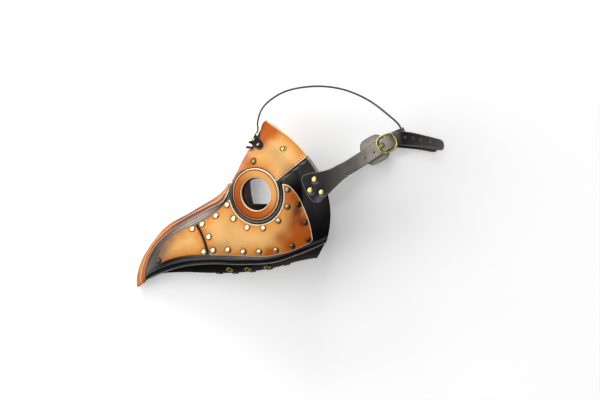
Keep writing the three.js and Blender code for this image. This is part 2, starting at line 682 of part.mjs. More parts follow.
putPair("base", makeBase(), BLACK);
putPair("beak_tip_panel", makePanel(TIP_PANEL, TIP_RIVETS, 0), TAN);
putPair("cheek_panel", makePanel(CHEEK_PANEL, CHEEK_RIVETS, PANEL_CUT_RADIUS), TAN);
const browPanel = makePanel(BROW_PANEL, BROW_RIVETS, BROW_CUT_RADIUS);
putPair("forehead_panel", browPanel, TAN);
put("crest_strip", makeCrest(), CREST_BROWN);
makeGoggles();
makeFloor();
makeHarness(browPanel);

// Lays the mask down and stands it on z = 0 with the middle of its box on the origin
const degrees = Math.PI / 180;
mask.rotation.set(LIE_ROLL * degrees, LIE_PITCH * degrees, 0);
root.updateMatrixWorld(true);
const box = new THREE.Box3().setFromObject(root, true);
mask.position.set(-(box.min.x + box.max.x) / 2, -(box.min.y + box.max.y) / 2, -box.min.z);
root.updateMatrixWorld(true);
export default root;
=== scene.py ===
import json
import math

import bpy
import numpy as np
from mathutils import Matrix, Vector
from mathutils.geometry import delaunay_2d_cdt

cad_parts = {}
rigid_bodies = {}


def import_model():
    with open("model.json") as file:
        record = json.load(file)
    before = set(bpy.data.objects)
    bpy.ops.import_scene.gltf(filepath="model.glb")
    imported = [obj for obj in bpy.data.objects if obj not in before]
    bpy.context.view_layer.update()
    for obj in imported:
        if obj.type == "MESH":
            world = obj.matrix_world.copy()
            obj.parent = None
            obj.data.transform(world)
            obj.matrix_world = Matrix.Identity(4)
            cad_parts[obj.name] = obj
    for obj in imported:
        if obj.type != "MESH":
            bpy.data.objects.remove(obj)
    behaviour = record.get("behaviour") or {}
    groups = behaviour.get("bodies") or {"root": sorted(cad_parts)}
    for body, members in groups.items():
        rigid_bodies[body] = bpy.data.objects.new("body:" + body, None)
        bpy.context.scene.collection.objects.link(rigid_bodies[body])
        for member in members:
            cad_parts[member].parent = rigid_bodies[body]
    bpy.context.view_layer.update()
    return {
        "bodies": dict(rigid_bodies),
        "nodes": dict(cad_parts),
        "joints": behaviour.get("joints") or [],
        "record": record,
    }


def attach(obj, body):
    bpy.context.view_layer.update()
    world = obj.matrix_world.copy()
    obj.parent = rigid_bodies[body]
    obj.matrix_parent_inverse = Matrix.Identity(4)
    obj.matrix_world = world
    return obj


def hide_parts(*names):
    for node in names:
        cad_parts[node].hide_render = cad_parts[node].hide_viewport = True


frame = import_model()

# The leather plague doctor mask, lying on its right cheek. Lengths are millimetres on the mask's own axes,
# x from the beak to the back of the head, y up the face, z to the left side, and go to metres at the end.
LIE_ROLL, LIE_PITCH = math.radians(3.32), math.radians(-15.46)
PLACE = np.array([-59.679, -12.829, 60.131])

# The body: sections from the ridge to the bottom seam, each a place and the control points of a cubic
SECTIONS = [
    (0.0, [-168, -129, 0.9, -165, -129.5, 3, -160, -127, 4.5, -156, -122, 4]),
    (0.12, [-160, -93, 1, -150, -100, 11, -146, -106, 14, -136, -111, 9]),
    (0.25, [-132, -53, 1.2, -127, -66, 17, -116, -90, 25, -105, -101, 15]),
    (0.42, [-89, -26.5, 1.2, -86, -45, 24, -78, -82, 37, -64, -96.5, 24]),
    (0.6, [-47, 0, 1.2, -46, -8, 44, -35, -72, 44, -18, -97.5, 34]),
    (0.72, [-31, 22, 1, -28, 20, 68, 5, -55, 51, 22, -95.5, 42]),
    (0.84, [-14, 54, 0.6, 0, 55, 62, 45, -30, 76, 58, -84, 50]),
    (1.0, [14, 105.7, 0.4, 52, 82, 70, 124, 20, 94, 98.7, -66, 60]),
]
BASE_THICK = 2.2
PANEL_THICK = 2.0
GAP = 0.3
FLOOR_BULGE = [(0.0, [0.5]), (0.12, [1.5]), (0.25, [9]), (0.42, [14.5]), (0.6, [12.5]), (0.72, [9]),
               (0.84, [11]), (1.0, [24])]
FLOOR_INSET, FLOOR_RAISE, CHIN_SETBACK, CHIN_STARTS = 3.2, 1.5, 13, 0.8

# Goggles
SEAT_HEIGHT = 50.0
EYE = np.array([1.4, 0.3, 50.76])
EYE_NORMAL = np.array([-0.46, -0.098, 0.883])
SEAT_FLAT, SEAT_EASE, SEAT_TOP = 43, 76, (0.03, 0.17)
RING_RADIUS, RING_HOLE = 36.4, 23.0
SOCKET_INNER, SOCKET_OUTER, SOCKET_RISE = 37.0, 42.4, 2.6
EYE_REACH = 12
PANEL_CUT, BROW_CUT = 43.0, 36.9

# Outlines as they are seen from the left: a run of two points is straight, a longer one a smooth curve
TIP_PANEL = [
    [(-84.7, -43.4), (-92.5, -45), (-101, -48.4), (-112, -54), (-122, -61.3), (-130.6, -71),
     (-136, -82.7), (-140.4, -94.5)],
    [(-140.4, -94.5), (-139.3, -98.8)],
    [(-139.3, -98.8), (-133, -97), (-122, -92.4), (-106, -88.2), (-90, -86.2), (-69, -85.2)],
    [(-69, -85.2), (-71.4, -70), (-77.7, -54.6), (-84.7, -43.4)],
]
CHEEK_PANEL = [
    [(-80.5, -41.5), (-67.9, -33.3), (-54.2, -23.5), (-44.4, -13.7), (-39.5, -8.8)],
    [(-39.5, -8.8), (0, 8), (39.2, 14.4)],
    [(39.2, 14.4), (46.1, 11.8), (54.9, 2.9), (63.7, -10.8), (71.5, -28.4), (76.4, -44.2),
     (79, -58), (79.8, -63)],
    [(79.8, -63), (76, -67.5), (63.7, -73.6), (46.1, -80.5), (26.3, -85.4), (6.7, -87.4), (-32.6, -85.6),
     (-64.3, -85)],
    [(-64.3, -85), (-65.8, -81), (-71.5, -64), (-77.5, -50), (-82, -43.3)],
]
BROW_PANEL = [
    [(-34, 17), (-26, 30), (-18.6, 47), (-10.8, 61.2)],
    [(-10.8, 61.2), (0.5, 66), (4.5, 73), (5.9, 80.5), (7, 87.5), (9.1, 97.3), (14, 104.5)],
    [(14, 104.5), (22.8, 97.7), (35.7, 88.4), (47.8, 79.6), (60, 67.8), (73.5, 53.3)],
    [(73.5, 53.3), (28.7, 17.5)],
    [(28.7, 17.5), (0, 10), (-34, 17)],
]
BROW_TAB = [
    [(-3.1, 88.9), (1.4, 83.3), (5.5, 79), (9.8, 72.1), (11, 66.5), (9.5, 62.3), (5.6, 59.8), (1, 62.5),
     (-2.1, 66.5), (-5, 70), (-5.9, 73.5), (-4.6, 81), (-3.1, 88.9)],
]
STRIP_EDGE = [(-156.5, -121.1), (-155.4, -106.4), (-149.9, -89.2), (-142.5, -75.3), (-132.9, -64.5),
              (-122.1, -54.9), (-109.3, -45.8), (-94.4, -36.7), (-79.2, -28.7), (-64.3, -20.7),
              (-52.5, -15.3), (-45.1, -9.9), (-38.6, 1.8), (-33.7, 11.5)]
STRIP_ENDS = 0.69

TIP_RIVETS = [(-89.3, -49.4), (-72.4, -81.1), (-137.1, -93.7)]
CHEEK_RIVETS = [
    (-40, -15.1), (-55.9, -30.8), (-75.3, -42.8), (-65.9, -60.1), (-59.6, -79), (-38.8, -78.1),
    (-17.2, -80.8), (4.9, -80.5), (28.3, -78), (51.1, -72.1), (73.5, -63.4), (69, -39.2),
    (59.4, -14.1), (44.7, 6.3), (44.5, -17.2), (31.9, -36.7), (10.9, -47.3), (-11.8, -46.8),
    (-30.9, -34.7),
]
BROW_RIVETS = [(-25.8, 26.6), (-2.5, 45.5)]
BROW_EYELET = (38.5, 62.6)
TAB_RIVETS = [(-0.4, 75.2), (5, 66.5)]
STRAP_RIVETS = [(82.2, 20.3), (76.3, 5.2), (92, 2.4)]
STRAP_HOLES = [(164.9, 57.7), (152.6, 50)]
TAIL_HOLES = [(206.5, 79.1), (217.7, 77.7), (228.2, 75.2), (241.5, 72.8)]

VENTS = [(0.47, 0), (0.56, 0), (0.64, 0), (0.71, 0), (0.79, 0), (0.53, 0.62), (0.53, -0.62),
         (0.62, 0.62), (0.62, -0.62), (0.7, 0.62), (0.7, -0.62)]
VENT_HOLE = 3.0

# Harness
STRAP_WIDTH, STRAP_THICK = 20.0, 2.6
STRAP_PLAN = [(114, 30), (125, 35), (146, 47.8), (165, 59.9), (181.5, 70.5), (197, 77.2), (214, 76.5),
              (234, 73.6), (257, 69)]
STRAP_REACH = {"left": [81.1, 82.7, 83.6, 82.9, 82.2, 81, 76, 70, 64],
               "right": [81.1, 83.9, 92.7, 100.8, 107.9, 114, 119, 124, 129]}
STRAP_TWIST, TWIST_FROM = 0.75, 0.6
STRAP_BASE = [
    [(117, 42.5), (104.3, 35.5), (90.3, 31.5), (76.3, 29.6), (66.5, 25.8), (63.3, 21)],
    [(63.3, 21), (66, 12), (69.3, 5), (74, -4.5), (80, -10.5), (86, -12), (92, -9.5), (98.7, -2.5),
     (112.8, 11.5), (127.8, 25.6)],
]
BUCKLE_PLACE, BUCKLE_WIDTH, BUCKLE_LENGTH, BUCKLE_WIRE = 0.505, 26.0, 30.0, 1.5
PAD_THICK = 2.0
BACK_THICK, TOP_THICK, TOP_WIDTH = 2.2, 2.2, 18.0
BACK_MIDDLE = [(193, 77, 65), (206, 83, 42), (210, 85, 8), (209, 85, -34), (203, 82, -74),
               (190, 75.5, -98)]
BACK_OUTWARD = [(0.6, 0.25, 0.8), (0.9, 0.36, 0.3), (0.93, 0.37, 0), (0.9, 0.36, -0.3), (0.7, 0.3, -0.6),
                (0.2, 0.1, -0.9)]
TOP_PATH = [(1.1, 86.8, 0), (2.2, 91.5, 0), (1.8, 101, 0), (9, 122, 0), (36, 143, 0), (76, 152, 0),
            (118, 149, 0), (156, 134, 0), (186, 112, 0), (201.8, 97, 0), (206.9, 84, 0), (209.4, 77.4, 0)]
TAB_THICK, BELT_WIDTH, BELT_THICK = 1.8, 3.4, 1.8
BELTS = [(0.896, (0.032, 0.016, 0)), (0.873, (0.115, 0.06, 0))]

# Each hand with its flip of z, the lowest height in metres, and a distance past every mark
HANDS = {"left": 1, "right": -1}
ON_GROUND = 0.0001
FAR_AWAY = 50.0


# The shape of the leather

def ease(low, high, x):
    k = np.clip((np.asarray(x, float) - low) / (high - low), 0, 1)
    return k * k * (3 - 2 * k)


def smooth(rows, x):
    """Smooth values at x through rows of (place, numbers); it runs on straight past the last row."""
    places = np.array([row[0] for row in rows], float)
    values = np.array([row[1] for row in rows], float)
    step = np.diff(places)
    slope = np.diff(values, axis=0) / step[:, None]
    tangent = np.empty_like(values)
    inner = slope[:-1] * step[1:, None] + slope[1:] * step[:-1, None]
    tangent[1:-1] = inner / (step[1:] + step[:-1])[:, None]
    tangent[0] = 2 * slope[0] - tangent[1]
    tangent[-1] = 2 * slope[-1] - tangent[-2]
    x = np.asarray(x, float)
    i = np.clip(np.searchsorted(places, x, side="left") - 1, 0, len(places) - 2)
    h = step[i][..., None]
    t = np.minimum((x - places[i]) / step[i], 1)[..., None]
    near = (2 * t**3 - 3 * t**2 + 1) * values[i] + (t**3 - 2 * t**2 + t) * h * tangent[i]
    far = (3 * t**2 - 2 * t**3) * values[i + 1] + (t**3 - t**2) * h * tangent[i + 1]
    return near + far + np.maximum(x - places[-1], 0)[..., None] * tangent[-1]


def unit(v):
    return v / np.maximum(np.linalg.norm(v, axis=-1, keepdims=True), 1e-9)


eye_normal = unit(EYE_NORMAL)
eye_x = unit(np.cross([0.0, 1.0, 0.0], eye_normal))
eye_y = np.cross(eye_normal, eye_x)


def side(s, t):
    """The left side of the body: s from the beak's tip to the rear edge, t from the ridge to the seam."""
    q = smooth(SECTIONS, s)
    t = np.asarray(t, float)[..., None]
    p = ((1 - t) ** 3 * q[..., 0:3] + 3 * t * (1 - t) ** 2 * q[..., 3:6]
         + 3 * t * t * (1 - t) * q[..., 6:9] + t**3 * q[..., 9:12])
    drop = (eye_normal[0] * p[..., 0] + eye_normal[1] * p[..., 1]) / eye_normal[2]
    away = np.sqrt(p[..., 0] ** 2 + p[..., 1] ** 2 + drop**2)
    flat = (1 - ease(SEAT_FLAT, SEAT_EASE, away)) * ease(*SEAT_TOP, t[..., 0])
    p[..., 2] += (SEAT_HEIGHT - drop - p[..., 2]) * flat
    return p


def floor(s, t):
    """The floor between the two seams; t runs from the right seam to the left one."""
    seam = side(s, np.ones_like(s))
    across = 2 * t - 1
    half = np.maximum(seam[..., 2] - FLOOR_INSET, 0.6)
    sag = 1 - np.abs(across) ** 2.2
    back = CHIN_SETBACK * np.maximum((s - CHIN_STARTS) / (1 - CHIN_STARTS), 0) ** 2
    bulge = smooth(FLOOR_BULGE, s)[..., 0] + FLOOR_RAISE
    return np.stack([seam[..., 0] - back * sag, seam[..., 1] + FLOOR_RAISE - bulge * sag, half * across], -1)


def normals_of(surface, s, t, flip=1):
    e = 1e-3
    along = surface(s + e, t) - surface(np.maximum(s - e, 0), t)
    down = surface(s, np.minimum(t + e, 1)) - surface(s, np.maximum(t - e, 0))
    return unit(np.cross(down, along)) * flip


def section_length(s):
    """How far it is over the leather from the ridge to the bottom seam."""
    return np.linalg.norm(side(s, np.zeros_like(s)) - side(s, np.ones_like(s)), axis=-1) * 1.15


coarse_s, coarse_t = [a.ravel() for a in np.meshgrid(np.linspace(0, 1.1, 67), np.linspace(0, 1, 41))]
coarse_points = side(coarse_s, coarse_t)[:, :2]


def locate(xy):
    """The places (s, t) on the left side that are seen at points (x, y)."""
    nearest = [np.argmin(((coarse_points - p) ** 2).sum(1)) for p in xy]
    s, t = coarse_s[nearest].copy(), coarse_t[nearest].copy()
    e = 1e-4
    for _ in range(14):
        p = side(s, t)
        ps = (side(s + e, t) - p) / e
        pt = (side(s, t + e) - p) / e
        det = ps[:, 0] * pt[:, 1] - pt[:, 0] * ps[:, 1]
        det = np.where(np.abs(det) < 1, np.sign(det + 1e-9), det)
        dx, dy = xy[:, 0] - p[:, 0], xy[:, 1] - p[:, 1]
        s = np.clip(s + np.clip((dx * pt[:, 1] - dy * pt[:, 0]) / det, -0.05, 0.05), 0, 1.3)
        t = np.clip(t + np.clip((dy * ps[:, 0] - dx * ps[:, 1]) / det, -0.08, 0.08), 0, 1)
    return s, t


def on_side(xy):
    """Points and normals of the left side under places seen from the left."""
    s, t = locate(np.array(xy, float))
    return side(s, t), normals_of(side, s, t)


# Flat outlines

def outline(runs, step=0.9, rounding=1.1):
    """Evenly spaced points round the runs, with the corners worn round."""
    points = []
    for run in runs:
        p = np.array(run, float)
        if len(p) == 2:
            k = max(int(np.linalg.norm(p[1] - p[0]) / step), 1)
            points.append(p[0] + (p[1] - p[0]) * (np.arange(k) / k)[:, None])
            continue
        ends = [2 * p[0] - p[1], *p, 2 * p[-1] - p[-2]]
        for a, b, c, d in zip(ends, ends[1:], ends[2:], ends[3:]):
            k = max(int(np.linalg.norm(c - b) / step), 1)
            u = (np.arange(k) / k)[:, None]
            points.append(0.5 * (2 * b + (c - a) * u + (2 * a - 5 * b + 4 * c - d) * u**2
                                 + (3 * b - a - 3 * c + d) * u**3))
    closed = evenly(np.concatenate(points), step)
    reach = int(3 * rounding / step)
    if reach:
        weights = np.exp(-0.5 * (np.arange(-reach, reach + 1) * step / rounding) ** 2)
        weights /= weights.sum()
        closed = sum(w * np.roll(closed, k, axis=0) for w, k in zip(weights, range(-reach, reach + 1)))
    x, y = closed.T
    area = (x * np.roll(y, -1) - y * np.roll(x, -1)).sum()
    return closed if area > 0 else closed[::-1]


def walked(track):
    """How far along a run of points each of them lies."""
    return np.concatenate([[0], np.cumsum(np.linalg.norm(np.diff(track, axis=0), axis=1))])


def at_lengths(at, track, values=None):
    """The places on a run of points at lengths along it, or the values there."""
    values = track if values is None else values
    length = walked(track)
    return np.stack([np.interp(at, length, values[:, k]) for k in range(values.shape[1])], 1)


def evenly(points, step, closed=True):
    p = np.concatenate([points, points[:1]]) if closed else points
    whole = walked(p)[-1]
    at = np.linspace(0, whole, max(int(round(whole / step)), 4) + 1)
    return at_lengths(at[:-1] if closed else at, p)


def inside(points, ring):
    a, b = ring, np.roll(ring, -1, axis=0)
    x, y = points[:, :1], points[:, 1:]
    crosses = (a[:, 1] > y) != (b[:, 1] > y)
    rise = np.where(np.abs(b[:, 1] - a[:, 1]) < 1e-9, 1e-9, b[:, 1] - a[:, 1])
    left = x < (b[:, 0] - a[:, 0]) * (y - a[:, 1]) / rise + a[:, 0]
    return (crosses & left).sum(1) % 2 == 1


def distance(points, ring, closed=True):
    ring = np.array(ring, float)
    a = ring if closed else ring[:-1]
    b = np.roll(ring, -1, axis=0) if closed else ring[1:]
    d = b - a
    result = np.full(len(points), 1e9)
    for start in range(0, len(points), 2000):
        p = points[start:start + 2000, None, :] - a[None]
        u = np.clip((p * d).sum(2) / np.maximum((d * d).sum(1), 1e-9), 0, 1)
        result[start:start + 2000] = np.sqrt(((p - d * u[..., None]) ** 2).sum(2).min(1))
    return result


def circle(x, y, radius, count=14):
    angle = np.arange(count) * 2 * math.pi / count
    return np.stack([x + radius * np.cos(angle), y + radius * np.sin(angle)], 1)


def nearness(points, centres):
    if not len(centres):
        return np.full(len(points), FAR_AWAY)
    gaps = points[:, None, :] - np.array(centres, float)[None]
    return np.sqrt((gaps**2).sum(2)).min(1)


def patches(points, blobs):
    """How far each point lies under soft round patches, each given as x, y, radius and strength."""
    total = np.zeros(len(points))
    for x, y, radius, strength in blobs:
        away = (points[:, 0] - x) ** 2 + (points[:, 1] - y) ** 2
        total += strength * np.exp(-away / radius**2)
    return total


# Meshes. A shape is a dictionary with points, faces and values at each point.

def join(*shapes):
    points, faces, skins, names, total = [], [], [], sorted({n for s in shapes for n in s["values"]}), 0
    values = {n: [] for n in names}
    for s in shapes:
        faces += [[i + total for i in f] for f in s["faces"]]
        skins += s.get("skins") or [0] * len(s["faces"])
        points.append(s["points"])
        total += len(s["points"])
        for n in names:
            values[n].append(s["values"].get(n, np.zeros(len(s["points"]))))
    return {"points": np.concatenate(points), "faces": faces, "skins": skins,
            "values": {n: np.concatenate(v) for n, v in values.items()}}


def mirrored(shape):
    return {"points": shape["points"] * (1, 1, -1), "faces": [f[::-1] for f in shape["faces"]],
            "skins": shape.get("skins"), "values": shape["values"]}


# A cut edge of leather, from its back to its front: how far in from the outline, and how high. The leather
# swells away from its edges and dips round its rivets, each over a reach.
CUT_EDGE = [(0.12, 0.0), (0.0, 0.3), (0.0, 0.6), (0.3, 0.85), (0.9, 0.97), (1.6, 1.0)]
SWELL_REACH, DIP_REACH = 7, 6.5


def cut_sheet(ring, surface, low, thick, grid=1.5, holes=(), rivets=(), dip=0.5, crown=0.25, **marks):
    """A piece of leather cut to a ring of points and laid on a surface, with a worn edge.

    Each mark is a value over the sheet: soft patches, or a function of the points."""
    tangent = unit(np.roll(ring, -1, axis=0) - np.roll(ring, 1, axis=0))
    inward = np.stack([-tangent[:, 1], tangent[:, 0]], 1)
    n = len(ring)
    loops = [ring + inward * inset for inset, _ in CUT_EDGE]
    heights = [np.full(n, thick * level) for _, level in CUT_EDGE]
    lows, highs = ring.min(0), ring.max(0)
    gx, gy = np.meshgrid(np.arange(lows[0], highs[0], grid), np.arange(lows[1], highs[1], grid * 0.866))
    gx = gx + (np.arange(gx.shape[0]) % 2)[:, None] * grid / 2
    inner = np.stack([gx.ravel(), gy.ravel()], 1)
    inner = inner[inside(inner, ring)]
    inner = inner[distance(inner, ring) > CUT_EDGE[-1][0] + 0.45 * grid]
    hole_rings = [circle(*h) for h in holes]
    for x, y, radius in holes:
        inner = inner[np.hypot(inner[:, 0] - x, inner[:, 1] - y) > radius + 0.4 * grid]
    flat = np.concatenate([loops[-1], *hole_rings, inner])
    edges, start = [(i, (i + 1) % n) for i in range(n)], n
    for h in hole_rings:
        edges += [(start + i, start + (i + 1) % len(h)) for i in range(len(h))]
        start += len(h)
    made = delaunay_2d_cdt([tuple(p) for p in flat], edges, [], 0, 1e-6, True)
    back_to = [o[0] if o else int(np.argmin(((flat - p) ** 2).sum(1))) for p, o in zip(made[0], made[3])]
    triangles = np.array([[back_to[i] for i in f] for f in made[2]])
    triangles = triangles[[len(set(f)) == 3 for f in triangles.tolist()]]
    middle = flat[triangles].mean(1)
    keep = inside(middle, loops[-1])
    for x, y, radius in holes:
        keep &= np.hypot(middle[:, 0] - x, middle[:, 1] - y) > radius
    triangles = triangles[keep]
    a, b, c = (flat[triangles[:, k]] for k in range(3))
    turn = (b[:, 0] - a[:, 0]) * (c[:, 1] - a[:, 1]) - (b[:, 1] - a[:, 1]) * (c[:, 0] - a[:, 0])
    triangles[turn < 0] = triangles[turn < 0][:, ::-1]
    away = distance(flat, ring)
    rows = loops[:-1] + [flat, flat]
    xy = np.concatenate(rows)
    p, facing = surface(xy)
    from_rivet = nearness(p, surface(np.array(rivets, float))[0] if len(rivets) else ())
    near = from_rivet[-len(flat):]
    lift = crown * (1 - np.exp(-np.maximum(away - 1.5, 0) / SWELL_REACH))
    lift -= dip * np.exp(-(near / DIP_REACH) ** 4)
    lift *= ease(1.0, 3.5, away)
    levels = heights[:-1] + [thick + lift, np.zeros(len(flat))]
    points = p + facing * (low + np.concatenate(levels))[:, None]
    m = len(CUT_EDGE) - 1
    top, bottom = m * n, m * n + len(flat)
    faces = [list(f) for f in triangles + top] + [list(f[::-1]) for f in triangles + bottom]
    for level in range(m):
        low_at, high_at = level * n, (level + 1) * n
        faces += [[low_at + i, low_at + (i + 1) % n, high_at + (i + 1) % n, high_at + i] for i in range(n)]
    faces += [[bottom + i, bottom + (i + 1) % n, (i + 1) % n, i] for i in range(n)]
    start = n
    for h in hole_rings:
        k = len(h)
        faces += [[top + start + i, top + start + (i + 1) % k, bottom + start + (i + 1) % k,
                   bottom + start + i] for i in range(k)]
        start += k
    wall = np.concatenate([np.full(n, w) for w in (1, 1, 1, 1, 0.85)] + [np.zeros(2 * len(flat))])
    edge = distance(xy, ring)
    values = {"wall": wall, "edge": edge, "rivet": from_rivet}
    values.update({key: mark(xy) if callable(mark) else patches(xy, mark) for key, mark in marks.items()})
    return {"points": points, "faces": faces, "values": values}


def grid_shape(points, keep=None):
    """Quads over a grid of points; keep says which of them stay."""
    rows, columns = points.shape[:2]
    i, j = np.meshgrid(np.arange(rows - 1), np.arange(columns - 1), indexing="ij")
    a = i * columns + j
    quads = np.stack([a, a + 1, a + columns + 1, a + columns], -1).reshape(-1, 4)
    return quads if keep is None else quads[keep(quads)]


def thicken(outer, inner, quads, values=None, rim=2):
    """A closed skin from two layers of the same grid; the skins are 0 outside, 1 inside and rim between."""
    n = len(outer)
    sides = np.concatenate([quads[:, [k, (k + 1) % 4]] for k in range(4)])
    seen = {tuple(e) for e in sides}
    border = [e for e in sides.tolist() if (e[1], e[0]) not in seen]
    faces = quads.tolist() + (quads[:, ::-1] + n).tolist() + [[b, a, a + n, b + n] for a, b in border]
    skins = [0] * len(quads) + [1] * len(quads) + [rim] * len(border)
    double = {k: np.concatenate([v, v]) for k, v in (values or {}).items()}
    return {"points": np.concatenate([outer, inner]), "faces": faces, "skins": skins, "values": double}


def catmull(path, k):
    """Points at fractions k of a centripetal curve through a path."""
    p = np.array(path, float)
    p = np.concatenate([[2 * p[0] - p[1]], p, [2 * p[-1] - p[-2]]])
    x = np.clip(np.asarray(k, float), 0, 1) * (len(p) - 3)
    i = np.minimum(x.astype(int), len(p) - 4)
    t = (x - i)[..., None]
    a, b, c, d = p[i], p[i + 1], p[i + 2], p[i + 3]
    d0, d1, d2 = (np.sqrt(np.linalg.norm(v, axis=-1, keepdims=True)) for v in (b - a, c - b, d - c))
    d1 = np.where(d1 < 1e-4, 1.0, d1)
    d0, d2 = (np.where(v < 1e-4, d1, v) for v in (d0, d2))
    m1 = ((b - a) / d0 - (c - a) / (d0 + d1) + (c - b) / d1) * d1
    m2 = ((c - b) / d1 - (d - b) / (d1 + d2) + (d - c) / d2) * d1
    return (b + m1 * t + (-3 * b + 3 * c - 2 * m1 - m2) * t**2 + (2 * b - 2 * c + m1 + m2) * t**3)


def strap_frames(path, outward, k):
    """Places on a strap with its directions along, across and out."""
    k = np.asarray(k, float)
    e = 1e-4
    along = unit(catmull(path, np.minimum(k + e, 1)) - catmull(path, np.maximum(k - e, 0)))
    across = unit(np.cross(catmull(outward, k), along))
    return catmull(path, k), along, across, np.cross(along, across)


def around(rings, values=None, closed=False, start=0):
    """A closed skin over rings of points; the ends are capped unless the last ring meets the first."""
    n, sides = rings.shape[:2]
    i, j = np.meshgrid(np.arange(n if closed else n - 1), np.arange(sides), indexing="ij")
    after, beside = (i + 1) % n * sides, (j + 1) % sides
    quads = np.stack([i * sides + j, after + j, after + beside, i * sides + beside], -1).reshape(-1, 4)
    faces = np.roll(quads, -start, axis=1).tolist()
    if not closed:
        faces += [list(range(sides)), list(range((n - 1) * sides, n * sides))[::-1]]
    return outward_faces({"points": rings.reshape(-1, 3), "faces": faces, "values": values or {}})


def swept(path, outward, width, thick, steps):
    """A strap of rounded section along a path."""
    p, _, across, out = strap_frames(path, outward, np.linspace(0, 1, steps + 1))
    half, deep, r = width / 2, thick / 2, min(thick * 0.32, 0.8)
    section = np.array([
        (-half, 0), (-half, deep - r), (-half + 0.3 * r, deep - 0.3 * r), (-half + r, deep),
        (-half + 3, deep + 0.08), (0, deep + 0.12), (half - 3, deep + 0.08), (half - r, deep),
        (half - 0.3 * r, deep - 0.3 * r), (half, deep - r), (half, 0), (half, -deep + r),
        (half - r, -deep), (0, -deep), (-half + r, -deep), (-half, -deep + r)])
    wall = [1, 1, 0.7, 0.1, 0, 0, 0, 0.1, 0.7, 1, 1, 1, 0.2, 0, 0.2, 1]
    edge = np.tile(half - np.abs(section[:, 0]), steps + 1)
    return around(p[:, None] + across[:, None] * section[None, :, :1] + out[:, None] * section[None, :, 1:],
                  {"wall": np.tile(wall, steps + 1), "edge": edge, "rivet": np.full(len(edge), FAR_AWAY)})


def tube(points, radius, sides=12, closed=False):
    """A round wire along points."""
    p = np.array(points, float)
    along = unit(np.roll(p, -1, axis=0) - np.roll(p, 1, axis=0) if closed else np.gradient(p, axis=0))
    up = np.empty_like(p)
    up[0] = unit(np.cross(along[0], [0.13, 0.31, 0.94]))
    for i in range(1, len(p)):
        up[i] = unit(up[i - 1] - along[i] * (up[i - 1] @ along[i]))
    angle = (np.arange(sides) * 2 * math.pi / sides)[None, :, None]
    spoke = up[:, None] * np.cos(angle) + np.cross(along, up)[:, None] * np.sin(angle)
    radius = np.broadcast_to(radius, len(p))[:, None, None]
    return around(p[:, None] + radius * spoke, closed=closed, start=1)


def outward_faces(shape):
    """Turns the faces round if the closed shape is inside out."""
    p = shape["points"]
    volume = sum(np.dot(p[f[0]], np.cross(p[f[i]], p[f[i + 1]]))
                 for f in shape["faces"] for i in range(1, len(f) - 1))
    if volume < 0:
        shape["faces"] = [f[::-1] for f in shape["faces"]]
    return shape


def spokes(angle):
    """Directions round the goggle's axis."""
    return eye_x * np.cos(angle)[:, None] + eye_y * np.sin(angle)[:, None]


def turned(profile, steps, values=None):
    """A profile of (radius, height) round the goggle's axis; values are numbers for each profile point."""
    angle = np.arange(steps) * 2 * math.pi / steps
    profile = np.array(profile, float)
    rings = EYE + spokes(angle)[:, None] * profile[None, :, :1] + eye_normal * profile[None, :, 1:]
    spread = {k: np.tile(v, steps) for k, v in (values or {}).items()}
    return around(rings, {**spread, "turn": np.repeat(angle, len(profile))}, closed=True)


roll = np.array([[1, 0, 0], [0, math.cos(LIE_ROLL), -math.sin(LIE_ROLL)],
                 [0, math.sin(LIE_ROLL), math.cos(LIE_ROLL)]])
pitch = np.array([[math.cos(LIE_PITCH), 0, math.sin(LIE_PITCH)], [0, 1, 0],
                  [-math.sin(LIE_PITCH), 0, math.cos(LIE_PITCH)]])
TURN = roll @ pitch


def to_world(points):
    return (np.asarray(points) @ TURN.T + PLACE) / 1000


def add_object(name, data):
    obj = bpy.data.objects.new(name, data)
    bpy.context.scene.collection.objects.link(obj)
    return obj


def settle(obj, nodes):
    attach(obj, "root")
    if nodes:
        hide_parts(*nodes)


def piece(name, shape, materials, nodes=(), flip=1):
    """A finished piece of the mask, riding on the frame in place of its solids; a flip of -1 mirrors it."""
    shape = mirrored(shape) if flip < 0 else shape
    mesh = bpy.data.meshes.new(name)
    mesh.from_pydata(to_world(shape["points"]).tolist(), [], shape["faces"])
    for key, numbers in shape["values"].items():
        mesh.attributes.new(key, "FLOAT", "POINT").data.foreach_set("value", numbers.astype(np.float32))
    for material in materials:
        mesh.materials.append(material)
    if shape.get("skins"):
        mesh.polygons.foreach_set("material_index", np.minimum(shape["skins"], len(materials) - 1))
    mesh.polygons.foreach_set("use_smooth", np.ones(len(mesh.polygons), bool))
    mesh.update()
    settle(add_object(name, mesh), nodes)


# Materials

class Value:
    """A number that changes over a surface. Sums and products of it add Math nodes."""

    def __init__(self, nodes, socket):
        self.nodes, self.socket = nodes, socket

    def math(self, operation, *others):
        return self.nodes.add("ShaderNodeMath", {"operation": operation}, dict(enumerate(others)))

    def __add__(self, other):
        return self.math("ADD", self, other)

    def __sub__(self, other):
        return self.math("SUBTRACT", self, other)

    def __rsub__(self, other):
        return self.math("SUBTRACT", other, self)

    def __mul__(self, other):
        return self.math("MULTIPLY", self, other)

    def least(self, other):
        return self.math("MINIMUM", self, other)

    def most(self, other):
        return self.math("MAXIMUM", self, other)

    def size(self):
        return self.math("ABSOLUTE", self)

    __radd__, __rmul__ = __add__, __mul__


